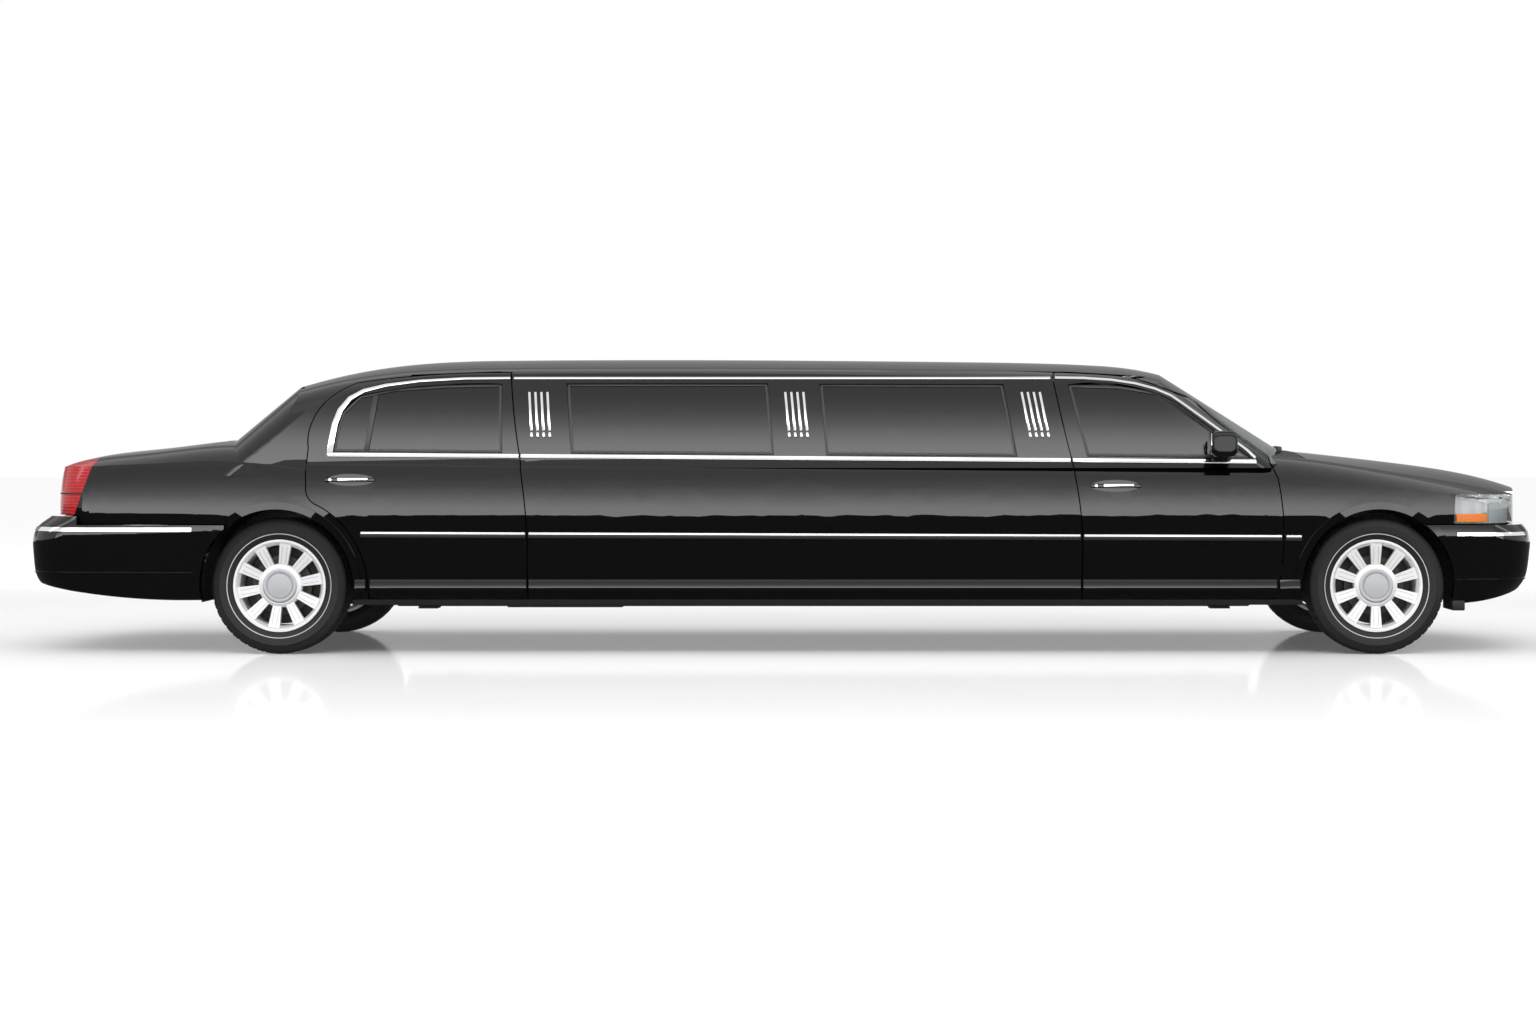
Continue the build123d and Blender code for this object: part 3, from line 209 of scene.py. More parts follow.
@dataclass(frozen=True)
class CellFinish(Finish):
    """A finish whose relief is a net of small cells, as on grained leather; the creases are painted darker as
    shade.
    """

    def pattern(self, tree: bpy.types.NodeTree) -> bpy.types.NodeSocket:
        """Builds the net of cells.

        Args:
            tree: node tree of the material.

        Returns:
            Socket that is low in the creases and high on the cells; the creases take the darker tone, painted
            shade.
        """
        place = add_node(tree, "ShaderNodeTexCoord")
        cells = add_node(
            tree,
            "ShaderNodeTexVoronoi",
            {"Vector": place.outputs["Object"], "Scale": 1000 / self.grain_mm},
            feature="DISTANCE_TO_EDGE",
        )
        lift = add_node(tree, "ShaderNodeMapRange", {"Value": cells.outputs["Distance"], "From Max": 0.25})
        return lift.outputs["Result"]


@dataclass(frozen=True)
class BandFinish(Finish):
    """A finish with drawn-out bands, as in veneer, brushed metal or fluted lenses.

    Attributes:
        along: axis the bands repeat on.
        waver: how far they wander.
    """

    along: str = "Z"
    waver: float = 4.0

    def pattern(self, tree: bpy.types.NodeTree) -> bpy.types.NodeSocket:
        """Builds the bands.

        Args:
            tree: node tree of the material.

        Returns:
            Socket that swings between 0 and 1 across the bands.
        """
        place = add_node(tree, "ShaderNodeTexCoord")
        bands = add_node(
            tree,
            "ShaderNodeTexWave",
            {
                "Vector": place.outputs["Object"],
                "Scale": WAVE_MM / self.grain_mm,
                "Distortion": self.waver,
                "Detail": 3.0,
            },
            bands_direction=self.along,
        )
        return bands.outputs["Fac"]


@dataclass(frozen=True)
class ShadedFinish(Finish):
    """A finish that changes with height, as a windscreen with a shade band.

    Attributes:
        low: height in metres where the tone ends.
        high: height in metres where the colour is full.
    """

    low: float = 0.0
    high: float = 1.0

    def pattern(self, tree: bpy.types.NodeTree) -> bpy.types.NodeSocket:
        """Builds the change with height.

        Args:
            tree: node tree of the material.

        Returns:
            Socket that is 0 below the band and 1 above it.
        """
        place = add_node(tree, "ShaderNodeTexCoord")
        split = add_node(tree, "ShaderNodeSeparateXYZ", {"Vector": place.outputs["Object"]})
        rise = add_node(
            tree,
            "ShaderNodeMapRange",
            {"Value": split.outputs["Z"], "From Min": self.low, "From Max": self.high},
        )
        return rise.outputs["Result"]


class Finishes:
    """The car's finishes, each named for the real material."""

    # Many coats rubbed flat: black with a mirror on it and the faintest orange peel.
    PAINT = Finish("Black lacquer on steel, polished", "paint", "#050506", "#070708", 0.06, 0.02, 9.0, 0.003,
                   specular=0.0, coat=1.0, coat_roughness=0.012)
    # The same lacquer on a moulded skin, a little softer in its reflections.
    SKIN = Finish("Black lacquer on moulded urethane", "bumper_paint", "#060607", "#08080A", 0.10, 0.03, 14.0,
                  0.006, specular=0.0, coat=1.0, coat_roughness=0.03)
    # Privacy glass: near black, with the cabin only just there.
    TINT = Finish("Float glass, privacy tinted", "side_glass", "#2C2E33", "#26282C", 0.012, 0.008, 220.0,
                  specular=0.25, transmission=1.0)
    # Laminated glass with a darker band along the top.
    SCREEN = ShadedFinish("Laminated float glass, shade band", "screen_glass", "#46524F", "#B2BEBB", 0.01,
                          transmission=1.0, low=1.27, high=1.37)
    # Bright plate over polished metal, with a breath of polish haze.
    CHROME = Finish("Chromium plate on polished brass", "chrome", "#E6E7E9", "#DFE0E2", 0.07, 0.01, 40.0,
                    metallic=1.0)
    # Extruded channel round the panes: a flat grey-black that catches a thin light.
    CHANNEL = Finish("Anodised aluminium, satin black", "black_plastic", "#2B2C2E", "#232426", 0.34, 0.05,
                     3.0, 0.02)
    # Rubber that closes a seam: soot black, no shine.
    SEAL = Finish("EPDM rubber, extruded", "black_plastic", "#101011", "#161617", 0.72, 0.08, 2.0, 0.03)
    # Clear as water, with the bowl seen through it.
    LENS = Finish("Polycarbonate, clear moulded", "lamp_clear", "#F4F7F8", "#ECF0F2", 0.015, 0.01, 60.0,
                  transmission=1.0, ior=1.58)
    # Fluted bowl with bright metal fumed on.
    REFLECTOR = BandFinish("Polyester bowl, aluminised flutes", "lamp_clear", "#FBFCFC", "#E6E8EA", 0.34,
                           0.06, 11.0, 0.7, metallic=0.15, along="Y", waver=0.3)
    # Orange through and through, with upright flutes.
    AMBER = BandFinish("Acrylic, amber moulded with flutes", "lamp_clear", "#F08A24", "#D8640E", 0.16, 0.03,
                       7.0, 0.3, along="X", waver=0.2, coat=0.3)
    # Two-shot lens: deep red, brighter where the ribs stand.
    RED = BandFinish("Acrylic, red moulded with ribs", "lamp_red", "#C8141F", "#A00E18", 0.20, 0.04, 16.0,
                     0.15, along="Z", waver=0.4, specular=0.3, coat=0.3)
    # Moulded and polished, a softer mirror than lacquer.
    MOULDED = Finish("ABS, moulded gloss black", "black_plastic", "#0B0B0C", "#101011", 0.16, 0.04, 8.0, 0.01,
                     specular=0.2, coat=0.25, coat_roughness=0.05)
    # Pebbled like fine hide, so that it only greys in the light; the creases are painted darker as shade.
    PLASTIC = CellFinish("Polypropylene, grained black", "black_plastic", "#1B1B1C", "#111112", 0.55, 0.08,
                         2.4, 0.06)
    # Brushed on under the floor: uneven, half dull.
    WAX = Finish("Pressed steel, black wax", "steel", "#1E1E1F", "#121213", 0.50, 0.14, 26.0, 0.10)
    # Rough skin from the sand, brown in its hollows.
    IRON = Finish("Cast iron, sand cast", "iron", "#6A6560", "#4A423A", 0.62, 0.12, 7.0, 0.35, metallic=0.85)
    # Faces cut on a lathe and lacquered: pale silver with a soft glow.
    ALLOY = Finish("Cast aluminium, machined and lacquered", "alloy", "#F2F2F3", "#E8E9EA", 0.42, 0.06, 5.0,
                   0.01, metallic=0.35, coat=0.15)
    # The cap's middle, turned finer: a shade darker than the spokes.
    TURNED = Finish("Aluminium sheet, fine turned", "alloy", "#BFC0C3", "#B2B3B7", 0.34, 0.05, 3.0, 0.01,
                    metallic=0.8)
    # Carbon black with a bloom on it, never quite black.
    RUBBER = Finish("Tyre rubber, moulded", "tyre", "#1C1C1D", "#141415", 0.66, 0.10, 5.0, 0.12)
    # The same rubber without the carbon, a little yellowed.
    LINE = Finish("Tyre rubber, white line", "tyre", "#DEDDD8", "#C9C8C2", 0.55, 0.05, 5.0, 0.05)
    # Grain drawn coarser than life, so that it shows in the render; the creases are painted darker as shade.
    LEATHER = CellFinish("Cowhide, black grained", "leather", "#222224", "#141415", 0.44, 0.07, 5.5, 0.30,
                         sheen=0.15)
    # Brown figure under a thick clear coat.
    VENEER = BandFinish("Walnut veneer, lacquered", "wood", "#5C3820", "#452715", 0.22, 0.04, 9.0, along="X",
                        waver=5.0, coat=0.7)
    # Straw and brown from the heat, the shine half gone.
    PIPE = Finish("Stainless steel, heat dulled", "exhaust_steel", "#A39C90", "#7C6F60", 0.38, 0.12, 60.0,
                  metallic=1.0)
    # A true mirror, faintly cold.
    MIRROR = Finish("Silvered glass", "chrome", "#D9DEE2", "#D2D8DC", 0.02, 0.01, 120.0, metallic=1.0)
    # Fired white, soft in the light.
    ENAMEL = Finish("Steel plate, white enamel", "chrome", "#E3E2DC", "#D8D7D0", 0.30, 0.05, 18.0, 0.02)
    # Tufts that drink the light.
    CARPET = Finish("Nylon carpet, cut pile", "black_plastic", "#1A1A1C", "#0E0E10", 0.95, 0.04, 4.0, 1.6,
                    sheen=0.4)


class Bench:
    """The modelling moves that the sub-assemblies share."""

    @staticmethod
    def only(obj: Object) -> None:
        """Makes one object the only selected and active one."""
        bpy.ops.object.select_all(action="DESELECT")
        obj.select_set(True)
        bpy.context.view_layer.objects.active = obj

    @staticmethod
    @contextmanager
    def editing(obj: Object, kind: str = "FACE") -> Iterator[None]:
        """Opens edit mode on one object with nothing selected.

        Args:
            obj: object to edit.
            kind: FACE, EDGE or VERT selection.
        """
        Bench.only(obj)
        bpy.ops.object.mode_set(mode="EDIT")
        bpy.ops.mesh.select_mode(type=kind)
        bpy.ops.mesh.select_all(action="DESELECT")
        yield
        bpy.ops.object.mode_set(mode="OBJECT")

    @staticmethod
    def pick(obj: Object, kind: str, test: Callable[[object], bool]) -> None:
        """Selects the faces, edges or vertices that pass a test.

        Args:
            obj: object in edit mode.
            kind: FACE, EDGE or VERT.
            test: says whether an element is wanted.
        """
        mesh = bmesh.from_edit_mesh(obj.data)
        group = {"FACE": mesh.faces, "EDGE": mesh.edges, "VERT": mesh.verts}[kind]
        for item in group:
            item.select_set(test(item))
        mesh.select_flush_mode()
        bmesh.update_edit_mesh(obj.data)

    @staticmethod
    def named(name: str) -> Object:
        """Takes the primitive just added, names it and puts its place into its mesh.

        Args:
            name: piece name.

        Returns:
            The object, at the origin, unturned and unscaled.
        """
        obj = bpy.context.object
        obj.name = name
        obj.data.name = name
        bpy.ops.object.transform_apply(location=True, rotation=True, scale=True)
        return obj

    @staticmethod
    def modify(obj: Object, kind: str, **settings: object) -> None:
        """Adds a modifier with its settings and applies it.

        Args:
            obj: object that takes it.
            kind: Blender's name for the modifier type.
            **settings: properties of the modifier.
        """
        Bench.only(obj)
        modifier = obj.modifiers.new(kind.title(), kind)
        for name, value in settings.items():
            setattr(modifier, name, value)
        bpy.ops.object.modifier_apply(modifier=modifier.name)

    @staticmethod
    def clean(obj: Object, degrees: float = 40.0) -> Object:
        """Merges doubles, turns the normals outwards and smooths by angle.

        Args:
            obj: closed mesh object.
            degrees: edges sharper than this stay sharp.

        Returns:
            The same object.
        """
        with Bench.editing(obj, "VERT"):
            bpy.ops.mesh.select_all(action="SELECT")
            bpy.ops.mesh.remove_doubles(threshold=WELD)
            bpy.ops.mesh.normals_make_consistent(inside=False)
        Bench.only(obj)
        bpy.ops.object.shade_smooth_by_angle(angle=math.radians(degrees))
        return obj

    @staticmethod
    def smoothed(obj: Object, degrees: float = 40.0) -> Object:
        """Smooths a mesh by angle and gives it back."""
        Bench.only(obj)
        bpy.ops.object.shade_smooth_by_angle(angle=math.radians(degrees))
        return obj

    @staticmethod
    def block(
        name: str,
        low: Sequence[float],
        high: Sequence[float],
        bevel: float = 0.002,
        segments: int = 2,
    ) -> Object:
        """A block between two corners with its edges broken.

        Args:
            name: piece name.
            low: lowest corner in metres.
            high: highest corner in metres.
            bevel: width of the broken edges.
            segments: steps across each broken edge.

        Returns:
            The object.
        """
        bpy.ops.object.select_all(action="DESELECT")
        centre = [(a + b) / 2 for a, b in zip(low, high)]
        size = [b - a for a, b in zip(low, high)]
        bpy.ops.mesh.primitive_cube_add(size=1.0, location=centre, scale=size)
        obj = Bench.named(name)
        Bench.modify(obj, "BEVEL", width=bevel, segments=segments, limit_method="ANGLE")
        return Bench.clean(obj)

    @staticmethod
    def spun(name: str, profile: Sequence[Point], steps: int, centre: Sequence[float] = ORIGIN) -> Object:
        """A ring or a disc turned about an axle along y.

        Args:
            name: piece name.
            profile: points of radius and y, in metres from the centre.
            steps: divisions round the turn.
            centre: point on the axle.

        Returns:
            The object.
        """
        bpy.ops.object.select_all(action="DESELECT")
        bpy.ops.mesh.primitive_circle_add(vertices=len(profile), radius=1.0, fill_type="NOTHING")
        obj = Bench.named(name)
        for vertex, (radius, y) in zip(obj.data.vertices, profile):
            vertex.co = (centre[0], centre[1] + y, centre[2] + radius)
        with Bench.editing(obj, "EDGE"):
            bpy.ops.mesh.select_all(action="SELECT")
            bpy.ops.mesh.spin(steps=steps, angle=math.tau, center=centre, axis=(0.0, 1.0, 0.0))
        return Bench.clean(obj, 32.0)

    @staticmethod
    def strip(
        name: str,
        path: Sequence[Point],
        width: float | Sequence[float],
        onto: str,
        thick: float = 0.004,
        flare: float = 0.0,
        sink: float = 0.001,
        bevel: float = 0.0018,
        down: bool = False,
    ) -> Object:
        """A strip bent onto the right side of a panel, or onto its top.

        Args:
            name: piece name.
            path: centre line in metres, x and z in side view or x and y from above.
            width: width, or one for each point of the path.
            onto: CAD node it lies on.
            thick: how far it stands out.
            flare: how far its lower edge leans out.
            sink: how deep it starts under the skin, so that no light shows behind it.
            bevel: width of its broken edges.
            down: whether it is laid on from above.

        Returns:
            The object, on the right side.
        """
        widths = list(width) if isinstance(width, (list, tuple)) else [width] * len(path)
        # Axis it is laid along, where it starts clear of the car, and the way inwards
        axis, start, inward = (2, 2.0, -1.0) if down else (1, -1.2, 1.0)
        bpy.ops.object.select_all(action="DESELECT")
        bpy.ops.mesh.primitive_grid_add(x_subdivisions=len(path) - 1, y_subdivisions=2, size=2.0)
        obj = Bench.named(name)
        closed = path[0] == path[-1]
        sides = [Bench.side_of(path, i, closed) for i in range(len(path))]
        lean = [flare * (1 - v.co.y) / 2 for v in obj.data.vertices]
        for vertex in obj.data.vertices:
            i = round((vertex.co.x + 1) / 2 * (len(path) - 1))
            reach = vertex.co.y * widths[i] / 2
            a, b = path[i][0] + sides[i][0] * reach, path[i][1] + sides[i][1] * reach
            vertex.co = (a, b, start) if down else (a, start, b)
        Bench.modify(
            obj,
            "SHRINKWRAP",
            target=NODES[onto],
            wrap_method="PROJECT",
            use_project_y=not down,
            use_project_z=down,
            use_positive_direction=not down,
            use_negative_direction=down,
        )
        # A point that moved less than this met nothing and takes the depth of its nearest neighbour
        missed = 0.01
        hits = [v.co.copy() for v in obj.data.vertices if abs(v.co[axis] - start) > missed]
        flat = [k for k in range(3) if k != axis]
        for vertex in obj.data.vertices:
            if abs(vertex.co[axis] - start) < missed:
                here = vertex.co.copy()
                near = min(hits, key=lambda h: sum((h[k] - here[k]) ** 2 for k in flat))
                vertex.co[axis] = near[axis]
            vertex.co[axis] += inward * (sink - lean[vertex.index])
        if closed:
            with Bench.editing(obj, "VERT"):
                bpy.ops.mesh.select_all(action="SELECT")
                bpy.ops.mesh.remove_doubles(threshold=WELD)
        Bench.modify(obj, "SOLIDIFY", thickness=thick + sink, offset=1.0, use_even_offset=True)
        Bench.modify(obj, "BEVEL", width=bevel, segments=2, limit_method="ANGLE")
        return Bench.clean(obj, 35.0)

    @staticmethod
    def side_of(path: Sequence[Point], index: int, closed: bool) -> Point:
        """The mitred direction to the left of a path at one of its points.

        Args:
            path: points of the path.
            index: which point.
            closed: whether the path ends where it starts.

        Returns:
            Direction, longer than 1 at a corner.
        """
        last = len(path) - 1
        if closed and index in (0, last):
            before, after = path[last - 1], path[1]
        else:
            before, after = path[max(index - 1, 0)], path[min(index + 1, last)]
        here = path[index]
        turns = []
        for a, b in ((before, here), (here, after)):
            step = Vector((b[0] - a[0], b[1] - a[1]))
            if step.length > 1e-9:
                turns.append(Vector((-step.y, step.x)).normalized())
        middle = sum(turns, Vector((0.0, 0.0))).normalized()
        stretch = 1.0 / max(middle.dot(turns[0]), 0.5)
        return (middle.x * stretch, middle.y * stretch)

    @staticmethod
    def skin(name: str, node: str, keep: Callable[[object], bool], cuts: Sequence[tuple] = ()) -> Object:
        """A copy of part of a CAD node's skin.

        Args:
            name: piece name.
            node: CAD node to copy.
            keep: says whether a face stays.
            cuts: planes as (point, normal); what lies beyond the normal goes.

        Returns:
            The open sheet.
        """
        obj = NODES[node].copy()
        obj.data = NODES[node].data.copy()
        obj.data.transform(NODES[node].matrix_world)
        bpy.context.scene.collection.objects.link(obj)
        for key in list(obj.keys()):
            if key.startswith("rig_"):
                del obj[key]
        obj.parent = None
        obj.matrix_world.identity()
        obj.name = name
        obj.data.name = name
        with Bench.editing(obj, "FACE"):
            bpy.ops.mesh.select_all(action="SELECT")
            bpy.ops.mesh.customdata_custom_splitnormals_clear()
            bpy.ops.mesh.remove_doubles(threshold=WELD)
            for point, normal in cuts:
                bpy.ops.mesh.select_all(action="SELECT")
                bpy.ops.mesh.bisect(plane_co=point, plane_no=normal, clear_outer=True)
            Bench.pick(obj, "FACE", lambda f: not keep(f))
            bpy.ops.mesh.delete(type="FACE")
        return obj

    @staticmethod
    def joined(name: str, pieces: Sequence[Object]) -> Object:
        """Joins like pieces into one object.

        Args:
            name: piece name.
            pieces: objects to join.

        Returns:
            The joined object.
        """
        Bench.only(pieces[0])
        for piece in pieces:
            piece.select_set(True)
        bpy.ops.object.join()
        obj = bpy.context.object
        obj.name = name
        obj.data.name = name
        return obj

    @staticmethod
    def copied(obj: Object, name: str, shift: Sequence[float] = ORIGIN, mirror: bool = False) -> Object:
        """A copy with its own mesh, moved or mirrored to the other side.

        Args:
            obj: object to copy.
            name: name of the copy.
            shift: how far it moves.
            mirror: whether y changes sign.

        Returns:
            The copy.
        """
        Bench.only(obj)
        bpy.ops.object.duplicate(linked=False)
        twin = bpy.context.object
        twin.location = shift
        twin.scale.y = -1.0 if mirror else 1.0
        Bench.named(name)
        if mirror:
            with Bench.editing(twin, "FACE"):
                bpy.ops.mesh.select_all(action="SELECT")
                bpy.ops.mesh.normals_make_consistent(inside=False)
        return twin

    @staticmethod
    def turned(obj: Object, degrees: float, axis: str, centre: Sequence[float]) -> Object:
        """Turns a piece's mesh about a point.

        Args:
            obj: object to turn.
            degrees: angle, right-handed about the axis.
            axis: X, Y or Z.
            centre: point that stays.

        Returns:
            The same object.
        """
        with Bench.editing(obj, "VERT"):
            bpy.ops.mesh.select_all(action="SELECT")
            bpy.ops.transform.rotate(value=-math.radians(degrees), orient_axis=axis, center_override=centre)
        return obj

    @staticmethod
    def fatten(obj: Object, value: float) -> None:
        """Moves a whole skin along its normals.

        Args:
            obj: open or closed mesh object.
            value: how far outwards, in metres.
        """
        with Bench.editing(obj, "FACE"):
            bpy.ops.mesh.select_all(action="SELECT")
            bpy.ops.transform.shrink_fatten(value=value)

    @staticmethod
    def dress(obj: Object, finish: Finish, body: str, replaces: Sequence[str] = ()) -> Object:
        """Gives a new piece its finish and the body it rides on.

        Args:
            obj: the piece.
            finish: its finish.
            body: body that carries it.
            replaces: CAD nodes it stands for.

        Returns:
            The same object.
        """
        obj.data.materials.clear()
        obj.data.materials.append(finish.build())
        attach(obj, body)
        if replaces:
            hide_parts(*replaces)
        log.info("%s on %s, %d faces", obj.name, body, len(obj.data.polygons))
        return obj

    @staticmethod
    def both_sides(obj: Object, finish: Finish, body: str) -> None:
        """Dresses a right-hand piece and its mirrored twin.

        Args:
            obj: right-hand piece whose name ends in _right.
            finish: finish of both.
            body: body of the right-hand piece.
        """
        twin = Bench.copied(obj, obj.name.replace("right", "left"), mirror=True)
        Bench.dress(obj, finish, body)
        Bench.dress(twin, finish, body.replace("right", "left"))

    @staticmethod
    def repaint(finish: Finish, *names: str) -> None:
        """Puts a finish on CAD nodes.

        Args:
            finish: the finish.
            *names: node names.
        """
        for name in names:
            node = NODES[name]
            if not node.material_slots:
                node.data.materials.append(None)
            for slot in node.material_slots:
                slot.material = finish.build()


def along(x0: float, x1: float, height: Callable[[float], float], step: float = 0.12) -> list[Point]:
    """Points of a line that runs along the car.

    Args:
        x0: first x.
        x1: last x.
        height: z for each x.
        step: longest distance between points.

    Returns:
        Points of x and z.
    """
    count = max(2, math.ceil(abs(x1 - x0) / step) + 1)
    xs = [x0 + (x1 - x0) * i / (count - 1) for i in range(count)]
    return [(x, height(x)) for x in xs]


@dataclass
class BodyShell:
    """Paint on the panels, and the finishes of the CAD pieces that stay as they are."""

    painted: tuple[str, ...] = (
        "roof_panel", "a_pillars", "hood", "boot_lid",
        *sided("stretch_panel", "quarter_panel", "front_fender", "front_door", "rear_door", "mirror"),
    )
    skins: tuple[str, ...] = ("front_bumper", "rear_bumper")
    panes: tuple[str, ...] = ("rear_window", *sided("stretch_windows", "front_glass", "rear_glass"))
    waxed: tuple[str, ...] = (
        "frame", "floor_pan", "firewall", "rear_bulkhead", "boot_floor", "propeller_shaft",
        "front_suspension",
    )
    cast: tuple[str, ...] = ("engine", "rear_axle", *sided("knuckle"))
    plain: tuple[str, ...] = ("sills", "cowl", "radiator", "dashboard", "wheel_houses")

    def build(self) -> None:
        """Dresses the CAD nodes."""
        Bench.repaint(Finishes.PAINT, *self.painted)
        Bench.repaint(Finishes.SKIN, *self.skins)
        Bench.repaint(Finishes.TINT, *self.panes)
        Bench.repaint(Finishes.SCREEN, "windscreen")
        Bench.repaint(Finishes.WAX, *self.waxed)
        Bench.repaint(Finishes.IRON, *self.cast)
        Bench.repaint(Finishes.PLASTIC, *self.plain)
        Bench.repaint(Finishes.CHROME, "grille")
        Bench.repaint(Finishes.RED, "tail_lamps")
        Bench.repaint(Finishes.PIPE, "exhaust")
        Bench.repaint(Finishes.LEATHER, "steering_wheel")
        Bench.repaint(Finishes.VENEER, "bar_cabinet", "partition")
        Bench.repaint(Finishes.ALLOY, *["wheel_" + w for w in RoadWheels.NAMES])
        log.info("finishes on %d CAD nodes", len(NODES))


@dataclass
class SideTrim:
    """Bright and black strips along each side, split where the panels part."""

    # Height of each line at its datum x, and how far it falls for each metre forwards
    belt_line: float = 1.0050
    belt_datum: float = -2.2
    belt_fall: float = 0.0075
    moulding_line: float = 0.607
    insert_line: float = 0.611
    moulding_datum: float = -2.118
    moulding_fall: float = 0.0036
    rocker_line: float = 0.349
    roof_line: float = 1.393
    belt_high: float = 0.020
    belt_thick: float = 0.006
    moulding_high: float = 0.030
    moulding_thick: float = 0.007
    moulding_round: float = 0.003
    insert_high: float = 0.019
    insert_thick: float = 0.010
    insert_round: float = 0.004
    insert_short: float = 0.003
    rocker_high: float = 0.060
    rocker_thick: float = 0.004
    rocker_flare: float = 0.0160
    drip_ends: Point = (-1.373, 1.352)
    drip_high: float = 0.011
    drip_thick: float = 0.005
    bars: int = 4
    bar_top: float = 1.321
    bar_foot: float = 1.092
    bar_wide: float = 0.0135
    bar_thick: float = 0.008
    bar_round: float = 0.0035
    bar_pitch: float = 0.0305
    # Parts of a louvre bar: name, where it starts and ends from the top at 0 to the foot at 1
    bar_parts: tuple = (("bar", 0.0, 0.86), ("tip", 0.885, 1.0))
    # Belt strips: body, first x, last x
    belts: tuple = (
        ("rear_door_right", -2.288, -1.3295),
        ("stretch_panel_right", -1.3175, 1.4405),
        ("front_door_right", 1.4525, 2.372),
    )
    # Mouldings: panel, first x, last x
    mouldings: tuple = (
        ("rear_door_right", -2.118, -1.2895),
        ("stretch_panel_right", -1.2775, 1.4905),
        ("front_door_right", 1.5035, 2.499),
        ("front_fender_right", 2.515, 2.598),
    )
    # Rocker strips: panel, first x, last x
    rockers: tuple = (
        ("quarter_panel_right", -2.148, -2.096),
        ("rear_door_right", -2.072, -1.288),
        ("stretch_panel_right", -1.2765, 1.4915),
        ("front_door_right", 1.5035, 2.474),
        ("front_fender_right", 2.490, 2.590),
    )
    # Louvre groups: x at the top of the first bar, slant of the bars
    louvres: tuple = ((-1.290, 0.024), (0.006, 0.024), (1.203, 0.040))

    @staticmethod
    def body_of(panel: str) -> str:
        """The body that carries a panel."""
        return panel if "door" in panel else "body"

    def build(self) -> None:
        """Models every strip on the right side and mirrors it."""
        for panel, x0, x1 in self.belts:
            path = along(x0, x1, lambda x: self.belt_line - self.belt_fall * (x - self.belt_datum))
            piece = Bench.strip("belt_strip_" + panel, path, self.belt_high, panel, self.belt_thick)
            Bench.both_sides(piece, Finishes.CHROME, self.body_of(panel))
        for panel, x0, x1 in self.mouldings:
            path = along(x0, x1, lambda x: self.moulding_line - self.moulding_drop(x))
            base = Bench.strip(
                "moulding_base_" + panel,
                path,
                self.moulding_high,
                panel,
                self.moulding_thick,
                bevel=self.moulding_round,
            )
            Bench.both_sides(base, Finishes.CHANNEL, self.body_of(panel))
            ends = (x0 + self.insert_short, x1 - self.insert_short)
            path = along(*ends, lambda x: self.insert_line - self.moulding_drop(x))
            insert = Bench.strip(
                "moulding_insert_" + panel,
                path,
                self.insert_high,
                panel,
                self.insert_thick,
                bevel=self.insert_round,
            )
            Bench.both_sides(insert, Finishes.CHROME, self.body_of(panel))
        for panel, x0, x1 in self.rockers:
            path = along(x0, x1, lambda x: self.rocker_line)
            piece = Bench.strip(
                "rocker_strip_" + panel,
                path,
                self.rocker_high,
                panel,
                self.rocker_thick,
                flare=self.rocker_flare,
            )
            Bench.both_sides(piece, Finishes.SKIN, self.body_of(panel))
        path = along(*self.drip_ends, lambda x: self.roof_line)
        piece = Bench.strip(
            "drip_strip_stretch_right", path, self.drip_high, "stretch_panel_right", self.drip_thick
        )
        Bench.both_sides(piece, Finishes.CHROME, "body")
        for number, (x, slant) in enumerate(self.louvres):
            self.louvre_group(number, x, slant)

    def moulding_drop(self, x: float) -> float:
        """How far the moulding has fallen at x."""
        return self.moulding_fall * (x - self.moulding_datum)

    def louvre_group(self, number: int, x: float, slant: float) -> None:
        """Models four slanted bars with their short tips.

        Args:
            number: which group, counted from the tail.
            x: top of the first bar.
            slant: how far forward each bar's foot lies.
        """
        fall = self.bar_foot - self.bar_top
        pieces = []
        for i in range(self.bars):
            start = x + i * self.bar_pitch
            for part, a, b in self.bar_parts:
                path = [(start + slant * t, self.bar_top + fall * t) for t in (a, (a + b) / 2, b)]
                bar = Bench.strip(
                    "louvre_" + part,
                    path,
                    self.bar_wide,
                    "stretch_panel_right",
                    self.bar_thick,
                    bevel=self.bar_round,
                )
                pieces.append(bar)
        group = Bench.joined("louvre_bars_%d_right" % number, pieces)
        Bench.both_sides(group, Finishes.CHROME, "body")


